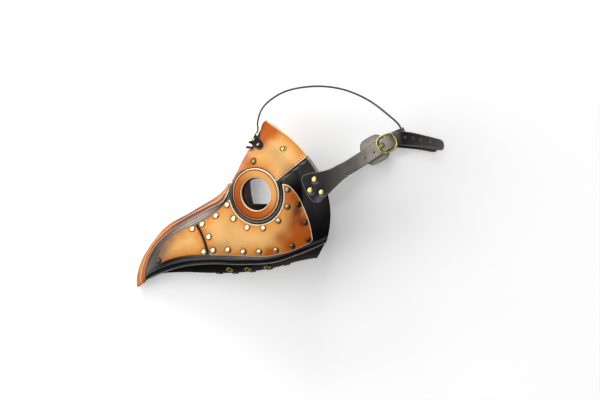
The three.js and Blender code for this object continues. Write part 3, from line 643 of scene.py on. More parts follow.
class Nodes:
    """The nodes of one material or one geometry tree."""

    def __init__(self, tree):
        self.tree = tree

    def add(self, kind, settings=None, inputs=None, output=0):
        """One node: its settings first, then the values or links of its sockets."""
        node = self.tree.nodes.new(kind)
        for key, setting in (settings or {}).items():
            if key == "stops":
                ramp = node.color_ramp
                while len(ramp.elements) < len(setting):
                    ramp.elements.new(0.5)
                for element, (at, color) in zip(ramp.elements, setting):
                    element.position, element.color = at, (*color, 1)
            else:
                setattr(node, key, setting)
        for key, value in (inputs or {}).items():
            if isinstance(value, Value):
                self.tree.links.new(value.socket, node.inputs[key])
            else:
                node.inputs[key].default_value = value
        return Value(self, node.outputs[output])

    def attribute(self, name):
        return self.add("ShaderNodeAttribute", {"attribute_name": name}, output=2)

    def attributes(self, names):
        return [self.attribute(name) for name in names.split()]

    def place(self):
        return self.add("ShaderNodeTexCoord", output="Object")

    def axis(self, letter):
        return self.add("ShaderNodeSeparateXYZ", {}, {"Vector": self.place()}, output=letter)

    def noise(self, scale, detail=4.0, rough=0.55, warp=0.0, seed=0.0):
        inputs = {"Vector": self.place(), "Scale": scale, "Detail": detail, "Roughness": rough,
                  "Distortion": warp, "W": seed}
        return self.add("ShaderNodeTexNoise", {"noise_dimensions": "4D"}, inputs)

    def cells(self, scale, feature="F1"):
        return self.add("ShaderNodeTexVoronoi", {"feature": feature},
                        {"Vector": self.place(), "Scale": scale})

    def step(self, value, low, high, at_low=0.0, at_high=1.0):
        """Smooth change from one number to another as value goes from low to high."""
        return self.add("ShaderNodeMapRange", {"interpolation_type": "SMOOTHSTEP", "clamp": True},
                        {"Value": value, "From Min": low, "From Max": high, "To Min": at_low,
                         "To Max": at_high})

    def fall(self, value, low, high):
        """1 at low and under, 0 at high and over."""
        return 1 - self.step(value, low, high)

    def ramp(self, factor, *stops):
        return self.add("ShaderNodeValToRGB", {"stops": stops}, {"Fac": factor})

    def mix(self, factor, a, b):
        """A mix of two colours, each a value or three numbers."""
        a, b = (color if isinstance(color, Value) else (*color, 1) for color in (a, b))
        return self.add("ShaderNodeMix", {"data_type": "RGBA"}, {0: factor, 6: a, 7: b}, output=2)

    def layers(self, color, *over):
        """A colour with others laid over it in turn, each a factor and a colour."""
        for factor, top in over:
            color = self.mix(factor, color, top)
        return color

    def bump(self, height, distance, strength=1.0, normal=None):
        inputs = {"Height": height, "Distance": distance, "Strength": strength}
        if normal:
            inputs["Normal"] = normal
        return self.add("ShaderNodeBump", {}, inputs)


def material(name, draw, **fixed):
    """A material whose draw function returns the sockets that change; fixed ones are set as they are."""
    made = bpy.data.materials.new(name)
    made.use_nodes = True
    tree = made.node_tree
    shader = next(n for n in tree.nodes if n.type == "BSDF_PRINCIPLED")
    for key, value in fixed.items():
        shader.inputs[key.replace("_", " ")].default_value = value
    for key, value in draw(Nodes(tree)).items():
        tree.links.new(value.socket, shader.inputs[key])
    return made


def grain(m, fine=1500, depth=0.00012, creases=0.5):
    """The pebbled surface of leather, with soft creases."""
    pebbles = m.cells(fine, "SMOOTH_F1")
    pores = m.noise(fine * 1.7, 3, 0.6)
    folds = m.noise(85, 5, 0.62, 0.6)
    height = pebbles * 0.55 + pores * 0.35 + folds * creases
    return m.bump(height, depth, 0.9)


def draw_tan(m):
    edge, rivet, wall, warm, dark, glow, smoke, seam, groove, pale = m.attributes(
        "edge rivet wall warm dark glow smoke seam groove pale")
    cloud = m.noise(24, 5, 0.6, 0.8, 1.0)
    mottle = m.noise(120, 4, 0.6, 0.4, 2.0)
    middle = m.step(edge + mottle * 6, 3, 24)
    base = m.ramp(middle * 0.42 + cloud * 0.3 + mottle * 0.2 - 0.07, (0.1, (0.58, 0.21, 0.03)),
                  (0.35, (0.68, 0.32, 0.075)), (0.6, (0.74, 0.41, 0.14)), (0.85, (0.78, 0.47, 0.21)))
    burnt = m.step(warm + (cloud - 0.5) * 0.8, 0.05, 0.95)
    near_edge = m.fall(edge + mottle * 5, 2.6, 7.5) * (1 - glow) * 0.6
    near_rivet = m.fall(rivet + mottle * 3, 5.6, 9.0) * 0.62
    rub = m.step(m.noise(320, 3, 0.6, 0.2, 3.0), 0.54, 0.7) * m.fall(edge, 0.6, 2.2)
    worn = m.fall(edge + mottle * 0.6, 0.9, 1.5) * pale * 0.8
    # The forehead's paler patches where it lies in shade, and the thin line along its rear edge, are painted
    # light and a painted highlight; the edges there are kept from darkening.
    color = m.layers(
        base, (burnt.most(near_edge).most(near_rivet), (0.42, 0.088, 0.006)),
        (glow * 0.6, (0.93, 0.60, 0.27)),
        (m.step(dark + (cloud - 0.5) * 0.9, 0.2, 1.0) * 0.85, (0.085, 0.016, 0.012)),
        (smoke * 0.8, (0.10, 0.066, 0.075)),
        (m.fall(rivet, 4.1, 5.3) * 0.9, (0.12, 0.022, 0.004)),
        (m.fall(seam, 2.0, 4.4) * 0.35, (0.85, 0.52, 0.22)),
        (m.fall((seam - 2.4).size(), 0.25, 0.8) * 0.4, (0.40, 0.12, 0.02)),
        (m.fall((seam - 3.9).size(), 0.25, 0.8) * 0.4, (0.88, 0.62, 0.32)),
        (groove * 0.14, (0.36, 0.07, 0.008)),
        (rub * 0.35, (0.80, 0.52, 0.26)),
        (m.step(wall, 0.35, 0.8).most(worn), m.mix(pale, (0.16, 0.07, 0.03), (0.92, 0.78, 0.56))))
    fold = m.bump(m.fall((seam - 2.6).size(), 0.2, 0.9) * 0.4 + groove * 0.4, 0.0003, -0.5,
                  grain(m, 1300, 0.00012, 0.9))
    return {"Base Color": color, "Roughness": 0.4 + mottle * 0.18 + wall * 0.2, "Normal": fold}


def draw_black(m):
    blotch = m.noise(55, 5, 0.6, 0.7, 4.0)
    fine = m.noise(420, 3, 0.6, 0.2, 5.0)
    color = m.mix(m.step(blotch * 0.7 + fine * 0.3, 0.42, 0.74), (0.002, 0.002, 0.0025), (0.007, 0.007, 0.007))
    # The grey over the black leather is painted highlight: below the ridge strip, on the goggle's bead,
    # behind the brow and along the rolled band over the bottom seam.
    dust = m.attribute("dust") * (0.7 + blotch * 0.6)
    color = m.layers(color, (dust.least(1.0), m.mix(dust, (0.17, 0.155, 0.16), (0.50, 0.44, 0.38))),
                     (m.attribute("line"), (0.42, 0.38, 0.32)))
    return {"Base Color": color, "Roughness": 0.26 + fine * 0.14, "Coat Weight": m.attribute("shine") * 0.8,
            "Normal": grain(m, 1400, 0.00012, 0.6)}


def draw_tab(m):
    fine = m.noise(700, 3, 0.6, 0.1, 10.5)
    # The blue-grey rim along the tab's edges is a painted highlight.
    rim = m.fall(m.attribute("edge"), 0.3, 1.1) * m.attribute("wall").most(0.5)
    color = m.mix(rim * 0.7, m.mix(fine, (0.002, 0.002, 0.003), (0.008, 0.008, 0.009)), (0.10, 0.11, 0.15))
    return {"Base Color": color, "Roughness": 0.5 + fine * 0.2, "Normal": grain(m, 1600, 0.0001, 0.5)}


def draw_ring(m):
    wall, turn, edge, groove, hole = m.attributes("wall light edge groove hole")
    cloud = m.noise(60, 5, 0.6, 0.6, 6.0)
    # The colour by the ring's angle is painted light: paler toward its upper right, darker toward its lower
    # left, with the cut edge dimmer there too.
    base = m.ramp(turn * 0.8 + cloud * 0.3, (0.15, (0.33, 0.052, 0.003)), (0.5, (0.46, 0.12, 0.010)),
                  (0.85, (0.70, 0.34, 0.10)))
    cut = m.mix(hole, m.mix(turn, (0.50, 0.25, 0.10), (1.0, 0.92, 0.76)), (0.98, 0.80, 0.50))
    color = m.layers(base, (m.fall(edge, 1.0, 3.0) * 0.55, (0.20, 0.034, 0.005)),
                     (m.step(groove, 0.3, 0.8) * 0.6, (0.20, 0.036, 0.006)), (m.step(wall, 0.4, 0.8), cut))
    return {"Base Color": color, "Roughness": 0.38 + cloud * 0.2, "Normal": grain(m, 1500, 0.0001, 0.5)}


def draw_crest(m):
    across, top, along = m.attributes("across top along")
    cloud = m.noise(45, 5, 0.6, 0.6, 7.0)
    mottle = m.noise(260, 4, 0.6, 0.3, 8.0)
    base = m.ramp(cloud * 0.6 + mottle * 0.4, (0.3, (0.37, 0.085, 0.008)), (0.5, (0.49, 0.17, 0.02)),
                  (0.75, (0.61, 0.28, 0.06)))
    maroon = m.mix(m.step(along + (cloud - 0.5) * 0.3, 0.12, 0.4), (0.42, 0.12, 0.03), (0.15, 0.026, 0.012))
    middle = m.step(along, 0.28, 0.38) * m.fall(along, 0.56, 0.64)
    # The pale line along the strip, pinkish grey in its middle, is a painted highlight.
    light = m.step(across + (mottle - 0.5) * 0.5, 5.8, 6.1) * m.fall(across, 6.9, 7.5)
    color = m.layers(
        base, (m.fall(across + (mottle - 0.5) * 0.9, 5.7, 6.2), maroon),
        (m.fall(top + mottle, 0.6, 2.2) * 0.7, (0.34, 0.08, 0.012)),
        (m.fall(top + mottle, 3.0, 6.0) * middle * 0.9, (0.20, 0.045, 0.012)),
        (light * 0.72, m.mix(middle, (0.74, 0.49, 0.26), (0.60, 0.50, 0.49))),
        (m.fall(across, 0.5, 1.4), m.mix(m.step(along, 0.1, 0.35), (0.62, 0.27, 0.09), (0.52, 0.40, 0.22))),
        (m.fall(across, 0.6, 1.5) * m.step(along, 0.56, 0.6), (0.95, 0.76, 0.52)))
    return {"Base Color": color, "Roughness": 0.38 + mottle * 0.2, "Normal": grain(m, 1300, 0.00014, 0.8)}


def draw_strap(m):
    edge, wall, pale, brown, halo, gleam, slot = m.attributes("edge wall pale brown halo gleam slot")
    blotch = m.noise(70, 5, 0.62, 0.5, 9.0)
    fine = m.noise(700, 3, 0.6, 0.1, 10.0)
    patchy = m.step(blotch * 0.6 + fine * 0.4, 0.3, 0.7)
    # The strap's grey is painted light, darkest at its base and palest by the buckle, in uneven patches; the
    # paler rims along its edges are painted highlights, and so is the bluish gleam round its rivets.
    color = m.layers(
        m.mix(pale * (0.7 + patchy * 0.5), (0.005, 0.005, 0.009), (0.40, 0.36, 0.305)),
        (m.fall(edge, 0.9, 2.0) * (0.2 + pale * 0.5), (0.26, 0.25, 0.245)),
        (brown * 0.8, (0.085, 0.075, 0.06)), (m.step(wall, 0.4, 0.9) * 0.8, (0.12, 0.115, 0.12)),
        (halo * 0.8, (0.14, 0.13, 0.12)), (gleam, (0.26, 0.25, 0.33)), (slot, (0.004, 0.004, 0.004)))
    return {"Base Color": color, "Roughness": 0.36 + pale * 0.3 + fine * 0.16,
            "Normal": grain(m, 1600, 0.00012, 0.7)}


def draw_panel_brass(m):
    stain = m.noise(380, 4, 0.6, 0.4, 11.0)
    x = m.axis("X")
    # Painted shade: the rivets darken toward the back of the cheek and at the beak's tip, by where they lie.
    painted_shade = m.step(x + stain * 0.03, -0.075, 0.0).most(m.fall(x, -0.185, -0.175))
    color = m.mix(m.step(stain, 0.5, 0.75) * 0.4, (0.84, 0.73, 0.44), (0.55, 0.42, 0.18))
    return {"Base Color": m.mix(painted_shade, color, (0.085, 0.058, 0.024)),
            "Roughness": stain * 0.2 + painted_shade * 0.12 + 0.22}


def draw_dull_brass(m):
    stain = m.noise(380, 4, 0.6, 0.4, 11.5)
    color = m.mix(m.step(stain, 0.4, 0.7), (0.34, 0.29, 0.09), (0.14, 0.11, 0.035))
    return {"Base Color": color, "Roughness": 0.34 + stain * 0.2}


def draw_brass(m):
    stain = m.noise(380, 4, 0.6, 0.4, 11.0)
    fine = m.noise(2500, 2, 0.5, 0.0, 12.0)
    color = m.mix(m.step(stain, 0.45, 0.7) * 0.6, (0.66, 0.54, 0.19), (0.30, 0.22, 0.06))
    return {"Base Color": color, "Roughness": 0.32 + stain * 0.2, "Normal": m.bump(fine, 0.00004, 0.6)}


def draw_lens(m):
    dust = m.noise(140, 4, 0.6, 0.3, 13.0)
    x, y = m.axis("X"), m.axis("Y")
    # Painted shade: the lens is black along its bottom and left, and a faint purple elsewhere.
    purple = m.step(y, -0.030, -0.016) * m.fall(x, -0.084, -0.070)
    coat = m.step(x + (dust - 0.5) * 0.01, -0.082, -0.056, 0.4, 1.0) * m.step(y, -0.0325, -0.0295, 0.2, 1.0)
    return {"Base Color": m.mix(purple, (0.003, 0.003, 0.003), (0.026, 0.009, 0.013)),
            "Roughness": 0.03 + dust * 0.05, "Coat Weight": coat}


def draw_suede(m):
    nap = m.noise(1800, 4, 0.7, 0.2, 14.0)
    cloud = m.noise(40, 4, 0.6, 0.5, 15.0)
    color = m.mix(nap * 0.6 + cloud * 0.4, (0.05, 0.034, 0.026), (0.15, 0.1, 0.075))
    return {"Base Color": color, "Roughness": 0.85 + nap * 0.1, "Normal": m.bump(nap, 0.0003, 0.8)}


def two_tone(noise, dark, light, rough, bump=None, leather=None):
    """The draw function of a plain material: one noise mixes its two colours and roughens it."""
    def draw(m):
        fine = m.noise(*noise)
        looks = {"Base Color": m.mix(fine, dark, light), "Roughness": rough + fine * 0.2}
        if bump or leather:
            looks["Normal"] = grain(m, *leather) if leather else m.bump(fine, *bump)
        return looks
    return draw


tan_leather = material("tan_leather", draw_tan, Specular_IOR_Level=0.14)
black_leather = material("black_leather", draw_black, Specular_IOR_Level=0.12, Coat_Roughness=0.22)
tab_leather = material("tab_leather", draw_tab, Specular_IOR_Level=0.06)
underside_leather = material("underside_leather", two_tone(
    (420, 3, 0.6, 0.2, 5.5), (0.001, 0.001, 0.001), (0.005, 0.005, 0.005), 0.5,
    leather=(1400, 0.00008, 0.4)), Specular_IOR_Level=0.04)
ring_leather = material("ring_leather", draw_ring, Specular_IOR_Level=0.1)
crest_leather = material("crest_leather", draw_crest, Specular_IOR_Level=0.3)
strap_leather = material("strap_leather", draw_strap, Specular_IOR_Level=0.12)
brass = material("brass", draw_brass, Metallic=1.0)
panel_brass = material("panel_brass", draw_panel_brass, Metallic=1.0)
dull_brass = material("dull_brass", draw_dull_brass, Metallic=1.0)
lens_dark = material("lens_dark", draw_lens, Coat_Roughness=0.03, Coat_IOR=2.35, Specular_IOR_Level=0.2)
suede = material("suede", draw_suede)
cut_black = material("cut_black", two_tone(
    (900, 4, 0.6, 0.2, 16.0), (0.02, 0.016, 0.014), (0.075, 0.06, 0.05), 0.6, (0.0002, 0.7)))
thread = material("thread", two_tone(
    (2600, 2, 0.5, 0.3, 17.0), (0.44, 0.075, 0.007), (0.58, 0.13, 0.015), 0.6, (0.0001, 0.8)))
ring_thread = material("ring_thread", two_tone(
    (2600, 2, 0.5, 0.3, 17.5), (0.07, 0.012, 0.004), (0.16, 0.03, 0.008), 0.6))
dark_thread = material("dark_thread", two_tone(
    (2600, 2, 0.5, 0.3, 18.0), (0.28, 0.065, 0.02), (0.46, 0.13, 0.045), 0.5, (0.0001, 0.8)))


# Geometry trees: rivets, eyelets and stitches on marked points. Their sizes are in metres.

BARREL_WALL = 0.0003


def new_tree(name, sizes):
    tree = bpy.data.node_groups.new(name, "GeometryNodeTree")
    tree.interface.new_socket("Geometry", in_out="INPUT", socket_type="NodeSocketGeometry")
    for key, value in sizes.items():
        socket = tree.interface.new_socket(key, in_out="INPUT", socket_type="NodeSocketFloat")
        socket.default_value = value
    tree.interface.new_socket("Finish", in_out="INPUT", socket_type="NodeSocketMaterial")
    tree.interface.new_socket("Geometry", in_out="OUTPUT", socket_type="NodeSocketGeometry")
    return tree


class Tree(Nodes):
    """A geometry tree whose inputs are sizes by name and that scatters one form over marked points."""

    def __init__(self, name, sizes):
        super().__init__(new_tree(name, sizes))
        self.inputs = self.tree.nodes.new("NodeGroupInput")

    def size(self, name):
        return Value(self, self.inputs.outputs[name])

    def vector(self, x, y, z):
        return self.add("ShaderNodeCombineXYZ", {}, {"X": x, "Y": y, "Z": z})

    def named(self, name):
        return self.add("GeometryNodeInputNamedAttribute", {"data_type": "FLOAT_VECTOR"}, {"Name": name})

    def ring(self, resolution, radius):
        return self.add("GeometryNodeCurvePrimitiveCircle", {}, {"Resolution": resolution, "Radius": radius})

    def sphere(self, segments, rings, radius):
        sizes = {"Segments": segments, "Rings": rings, "Radius": radius}
        return self.add("GeometryNodeMeshUVSphere", {}, sizes)

    def moved(self, form, key, x, y, z):
        """The form after a transform; the key is Scale or Translation."""
        return self.add("GeometryNodeTransform", {}, {"Geometry": form, key: self.vector(x, y, z)})

    def scatter(self, form):
        """Stands the form on every point, its z along the point's facing and its x along its way."""
        turn = self.add("FunctionNodeAlignRotationToVector", {"axis": "Z"}, {"Vector": self.named("facing")})
        turn = self.add("FunctionNodeAlignRotationToVector", {"axis": "X", "pivot_axis": "Z"},
                        {"Rotation": turn, "Vector": self.named("way")})
        made = self.add("GeometryNodeInstanceOnPoints", {},
                        {"Points": self.size("Geometry"), "Instance": form, "Rotation": turn})
        made = self.add("GeometryNodeRealizeInstances", {}, {"Geometry": made})
        made = self.add("GeometryNodeSetShadeSmooth", {}, {"Geometry": made})
        made = self.add("GeometryNodeSetMaterial", {}, {"Geometry": made, "Material": self.size("Finish")})
        out = self.tree.nodes.new("NodeGroupOutput")
        self.tree.links.new(made.socket, out.inputs[0])
        return self.tree


def rivet_tree():
    """A low domed head."""
    t = Tree("rivet_heads", {"Radius": 0.004, "Rise": 0.0018})
    radius, rise = t.size("Radius"), t.size("Rise")
    return t.scatter(t.moved(t.sphere(20, 12, 1.0), "Scale", radius, radius, rise))


def eyelet_tree():
    """A rolled ring with a barrel through the leather."""
    t = Tree("eyelets", {"Radius": 0.005, "Hole": 0.003, "Rise": 0.0014, "Depth": 0.003})
    radius, hole, rise, depth = (t.size(key) for key in ("Radius", "Hole", "Rise", "Depth"))
    bead = t.moved(t.ring(10, 1.0), "Scale", (radius - hole) * 0.5, rise, 1.0)
    wall = t.moved(t.ring(8, 1.0), "Scale", BARREL_WALL, depth * 0.5, 1.0)
    roll_over, barrel = (
        t.add("GeometryNodeCurveToMesh", {}, {"Curve": t.ring(28, size), "Profile Curve": section})
        for size, section in (((radius + hole) * 0.5, bead), (hole * 1.08, wall)))
    both = t.tree.nodes.new("GeometryNodeJoinGeometry")
    for part in (t.moved(barrel, "Translation", 0.0, 0.0, depth * -0.5), roll_over):
        t.tree.links.new(part.socket, both.inputs[0])
    return t.scatter(Value(t, both.outputs[0]))


def stitch_tree():
    """A short plump stitch."""
    t = Tree("stitches", {"Length": 0.0035, "Width": 0.0009})
    length, width = t.size("Length"), t.size("Width")
    return t.scatter(t.moved(t.sphere(8, 6, 0.5), "Scale", length, width, width * 0.8))


def scattered(name, tree, sizes, finish, marks, nodes=(), flip=1):
    """Runs a tree on marked points and keeps its result as a plain mesh.

    The marks are points, the way each one faces and, if it matters, the way its length lies."""
    points, facing, *ways = (v * (1, 1, flip) for v in marks)
    way = ways[0] if ways else unit(np.cross(facing, (0.3, 0.2, 0.9)))
    mesh = bpy.data.meshes.new(name + "_marks")
    mesh.from_pydata(to_world(points).tolist(), [], [])
    for key, v in (("facing", facing), ("way", way)):
        data = mesh.attributes.new(key, "FLOAT_VECTOR", "POINT").data
        data.foreach_set("vector", (v @ TURN.T).astype(np.float32).ravel())
    marked = add_object(name + "_marks", mesh)
    modifier = marked.modifiers.new("scatter", "NODES")
    modifier.node_group = tree
    for item in tree.interface.items_tree:
        if item.in_out == "INPUT" and item.name in sizes:
            modifier[item.identifier] = float(sizes[item.name])
        elif item.in_out == "INPUT" and item.name == "Finish":
            modifier[item.identifier] = finish
    seen = marked.evaluated_get(bpy.context.evaluated_depsgraph_get())
    plain = bpy.data.meshes.new_from_object(seen)
    plain.name = name
    for vertex in plain.vertices:
        vertex.co.z = max(vertex.co.z, ON_GROUND)
    marked.modifiers.remove(modifier)
    bpy.data.objects.remove(marked)
    if not plain.materials:
        plain.materials.append(finish)
    settle(add_object(name, plain), nodes)


rivet_heads, eyelets, stitches = rivet_tree(), eyelet_tree(), stitch_tree()


def riveted(name, radius, rise, finish, marks, nodes=(), flip=1):
    scattered(name, rivet_heads, {"Radius": radius, "Rise": rise}, finish, marks, nodes, flip)


def sewn(name, length, width, finish, marks, flip=1):
    scattered(name, stitches, {"Length": length, "Width": width}, finish, marks, (), flip)


# The body's two halves

# The rolled band over the bottom seam: half its width in front, how much of that it loses, and its height
BAND_HALF, BAND_NARROWS, BAND_RISE = 6.3, 3.1, 2.3
WOBBLE, EYE_HOLE_MARGIN = 0.12, 1.2
PIPING_RADIUS, CORD_RADIUS, CORD_DEPTH = 0.65, 1.3, 1.2
# The floor's turned-up edge: how far it stays off the halves, its rows' heights, and how thick it is
FLANGE_GAP, FLANGE_ROWS, FLANGE_THICK = 0.15, (2.5, 4.5, 7.0), 0.9


def eye_distance(p):
    """Distance from the goggle's axis and height over its plane."""
    from_eye = p - EYE
    high = from_eye @ eye_normal
    return np.linalg.norm(from_eye - high[..., None] * eye_normal, axis=-1), high


def base_rise(p, s, t, brow_ring):
    """How far the moulded leather stands up: the socket's bead and the rolled band over the bottom seam."""
    radial, high = eye_distance(p)
    middle = (SOCKET_INNER + SOCKET_OUTER) / 2
    half = (SOCKET_OUTER - SOCKET_INNER) / 2
    bead = SOCKET_RISE * np.sqrt(np.clip(1 - ((radial - middle) / half) ** 2, 0, 1))
    bead *= (np.abs(high) < EYE_REACH) * ease(0.02, 0.1, t)
    xy = p[:, :2]
    under_brow = inside(xy, brow_ring)
    under_panel = inside(xy, outline(CHEEK_PANEL)) | inside(xy, outline(TIP_PANEL))
    bead *= 1 - under_brow
    up = (1 - t) * section_length(s)
    wide = BAND_HALF - BAND_NARROWS * ease(0.7, 1.0, s)
    band = np.sqrt(np.clip(1 - ((up - wide) / wide) ** 2, 0, 1)) * BAND_RISE
    band = band * ease(0.02, 0.12, s) * (1 - under_panel)
    wobble = WOBBLE * np.sin(p[:, 0] * 0.21 + p[:, 1] * 0.13) * np.sin(p[:, 1] * 0.17 - p[:, 0] * 0.05)
    return bead + band + wobble * ease(0.04, 0.2, t) * (1 - under_brow)


def base_marks(xy, s, t, socket):
    """Painted highlights in grey on the black leather, below the ridge strip, round the goggle, behind the
    brow and on the rolled band; thin light lines behind the forehead and along the rear edge; and where the
    coat shines.
    """
    x, y = xy.T
    below_strip = distance(xy, STRIP_EDGE, closed=False)
    reach = np.interp(x, [-160, -150, -128, -95, -70, -55, -46], [0.05, 0.12, 0.4, 0.95, 0.8, 0.4, 0.0])
    wide = np.interp(x, [-150, -125], [3, 9])
    streak = 0.8 + 0.2 * np.cos(below_strip * 2.1 + 0.8 * np.sin(x * 0.09))
    dust = reach * np.exp(-(np.maximum(below_strip - wide * 0.6, 0) / (wide * 0.55)) ** 4) * streak
    dust += 0.03 * ease(-120, -140, x) + patches(xy, [(46, 26, 12, 0.22)])
    under_edge = np.min([distance(xy, run, closed=False) for run in (CHEEK_PANEL[3], TIP_PANEL[2])], axis=0)
    fade = np.interp(x, [-130, -112, -78, -22, 13, 41, 60], [0, 0.2, 0.62, 0.66, 0.36, 0.12, 0])
    dust += fade * (1 - ease(-2.0, 6.5, under_edge)) * ease(0.72, 0.78, t)
    dust += 0.5 * np.exp(-((socket[0] - 39.6) / 1.3) ** 2) * ease(-0.2, 0.8, socket[1])
    shine = 0.4 * ease(0.78, 0.84, t) * (1 - ease(10, 50, x)) + np.exp(-(below_strip / 12) ** 2)
    behind_brow = distance(xy, np.array(BROW_PANEL[3]) + (1.9, -2.2), closed=False)
    line = 0.55 * np.exp(-(behind_brow / 0.55) ** 2) * ease(30, 36, x)
    line += 0.6 * ease(0.9925, 0.995, s) * ease(24, 28, y) * ease(57, 54, y)
    return {"dust": np.clip(dust, 0, 1), "line": np.clip(line, 0, 1), "shine": np.clip(shine, 0, 1)}


def flat_grid(first_s, rows, columns):
    s, t = np.meshgrid(np.linspace(first_s, 1, rows), np.linspace(0, 1, columns), indexing="ij")
    return s.ravel(), t.ravel()


def base_shape(brow_ring):
    rows, columns = 236, 128
    s, t = flat_grid(0, rows, columns)
    s = s * (1 - 0.003 * (1 - ease(0.36, 0.42, t)))
    p, facing = side(s, t), normals_of(side, s, t)
    radial, high = eye_distance(p)
    hole = RING_HOLE + EYE_HOLE_MARGIN
    near_eye = (np.abs(high) < EYE_REACH) & (p[:, 2] > 5)
    from_axis = p - EYE - high[:, None] * eye_normal
    snap = near_eye & (np.abs(radial - hole) < 1.1)
    p[snap] += (unit(from_axis) * (hole - radial)[:, None])[snap]
    outer = p + facing * base_rise(p, s, t, brow_ring)[:, None]
    inner = p - facing * BASE_THICK
    outer[:, 2] = np.maximum(outer[:, 2], 0.2)
    inner[:, 2] = np.maximum(inner[:, 2], 0.0)
    from_eye = unit(p[:, :2] - EYE[:2])
    lower_right = (from_eye @ np.array([0.35, -0.94])) * (np.abs(high) < EYE_REACH)
    quads = grid_shape(outer.reshape(rows, columns, 3),
                       lambda quads: ~((radial[quads].mean(1) < hole) & near_eye[quads].all(1)))
    return outward_faces(thicken(outer, inner, quads, base_marks(p[:, :2], s, t, (radial, lower_right))))


brow_ring = outline(BROW_PANEL)
base = base_shape(brow_ring)
for hand, flip in HANDS.items():
    piece(f"leather_body_{hand}", base, [black_leather, suede, cut_black],
          [f"base_{hand}"], flip)

# A thin cord of leather sewn along the bottom seam, and one that closes the seam in front
s = np.linspace(0.04, 0.999, 170)
t = np.ones_like(s)
piping = side(s, t) + normals_of(side, s, t) * 0.9 + (0, -0.5, 0)
for hand, flip in HANDS.items():
    cord = tube(piping * (1, 1, flip), PIPING_RADIUS, 8)
    # The cord is painted grey along its length as a painted highlight, more so toward the tip.
    cord["values"]["dust"] = np.interp(cord["points"][:, 0], [-150, -110], [0.75, 0.5])
    piece(f"seam_piping_{hand}", cord, [black_leather])
s = np.linspace(0.6, 0.998, 110)
t = np.zeros_like(s)
ridge, facing = side(s, t) * (1, 1, 0), normals_of(side, s, t) * (1, 1, 0)
cord = tube(ridge - unit(facing) * CORD_DEPTH, CORD_RADIUS, 10)
piece("front_seam_cord", cord, [black_leather])


# The floor of the beak, punched for the eyelets

vents = np.array(VENTS)
vent_s, vent_t = vents[:, 0], 0.5 + vents[:, 1] / 2


def floor_shape():
    rows, columns = 210, 90
    s, t = flat_grid(0.02, rows, columns)
    p, facing = floor(s, t), normals_of(floor, s, t, -1)
    keep_out = np.zeros(len(p), bool)
    for c in floor(vent_s, vent_t):
        away = np.linalg.norm(p - c, axis=1)
        near = (away < VENT_HOLE + 1.0) & (away > VENT_HOLE - 1.0)
        p[near] += unit(p[near] - c) * (VENT_HOLE + 0.2 - away[near])[:, None]
        keep_out |= away < VENT_HOLE - 0.3
    quads = grid_shape(p.reshape(rows, columns, 3), lambda q: ~keep_out[q].any(1))
    return outward_faces(thicken(p, p - facing * BASE_THICK, quads))


def seam_flange():
    """The edge of the floor turned up inside the body's left half and sewn to it."""
    s = np.linspace(0.025, 0.998, 170)
    depth = BASE_THICK + FLANGE_GAP
    edge = floor(s, np.ones_like(s)) - normals_of(floor, s, np.ones_like(s), -1) * depth
    rows = [edge - (0, 0, 2.4), edge]
    for up in FLANGE_ROWS:
        t = 1 - up / np.maximum(section_length(s), 4 * up)
        rows.append(side(s, t) - normals_of(side, s, t) * depth)
    outer = np.stack(rows, 1)
    away = unit(np.cross(np.gradient(outer, axis=0), np.gradient(outer, axis=1)))
    inner = outer + away * FLANGE_THICK
    if ((inner - outer)[:, -1, 2]).mean() > 0:
        inner = 2 * outer - inner
    for layer in (outer, inner):
        layer[..., 2] = np.maximum(layer[..., 2], 0.1)
    return outward_faces(thicken(outer.reshape(-1, 3), inner.reshape(-1, 3), grid_shape(outer)))


flange = seam_flange()
piece("beak_underside", join(floor_shape(), flange, mirrored(flange)), [underside_leather, suede, cut_black],
      ["beak_floor"])
vent_facing = normals_of(floor, vent_s, vent_t, -1)
scattered("vent_eyelets", eyelets, {"Radius": 0.005, "Hole": 0.0029, "Rise": 0.0012, "Depth": 0.0032},
          dull_brass, (floor(vent_s, vent_t) + vent_facing * 0.4, vent_facing),
          [f"vent_eyelet_{i + 1}" for i in range(len(VENTS))])


# The tan panels with their rivets

def raised(spots, height, surface=on_side):
    """Marks lifted off a surface: where they are, and the way each one faces."""
    p, facing = surface(spots)
    return p + facing * height, facing


def on_plane_circle(radius):
    """A circle round the goggle in its own plane, as seen from the left."""
    return EYE[:2] + radius * spokes(np.arange(0, 2 * math.pi, 0.9 / radius))[:, :2]


def cut_away(ring, radius):
    """The part of a ring of points outside a circle round the goggle, drawn on the body."""
    radial, _ = eye_distance(on_side(ring)[0])
    bite = on_plane_circle(radius)
    out = radial > radius
    first = next(i for i in range(len(ring)) if out[i] and not out[i - 1])
    ring, out = np.roll(ring, -first, axis=0), np.roll(out, -first)
    kept = ring[: len(ring) - np.argmax(out[::-1])]
    a, b = (np.argmin(((bite - end) ** 2).sum(1)) for end in (kept[-1], kept[0]))
    ways = [np.arange(a, b if b >= a else b + len(bite)) % len(bite),
            np.arange(a, b if b <= a else b - len(bite), -1) % len(bite)]
    within = [inside(bite[w], ring).mean() if len(w) else 0 for w in ways]
    return np.concatenate([kept, bite[ways[int(np.argmax(within))]][1:-1]])


def rounded(ring, rounding=1.0):
    return outline([[*ring, ring[0]]], 0.9, rounding)


def spaced(run):
    return evenly(np.array(run, float), 0.5, closed=False)


def set_in(run, ring, inset):
    """A run of points moved sideways into the ring that it is part of."""
    track = spaced(run)
    tangent = unit(np.gradient(track, axis=0))
    across = np.stack([-tangent[:, 1], tangent[:, 0]], 1)
    middle = len(track) // 2
    if not inside((track + across * inset)[middle:middle + 1], ring)[0]:
        across = -across
    return track + across * inset


def beside(track, wide, strength=1.0):
    """A mark that has its full strength within wide of a track and fades outside it."""
    return lambda xy: strength * (1 - ease(wide, wide * 1.6, distance(xy, track, closed=False)))


def strongest(marks):
    return lambda xy: np.max([mark(xy) for mark in marks], axis=0)


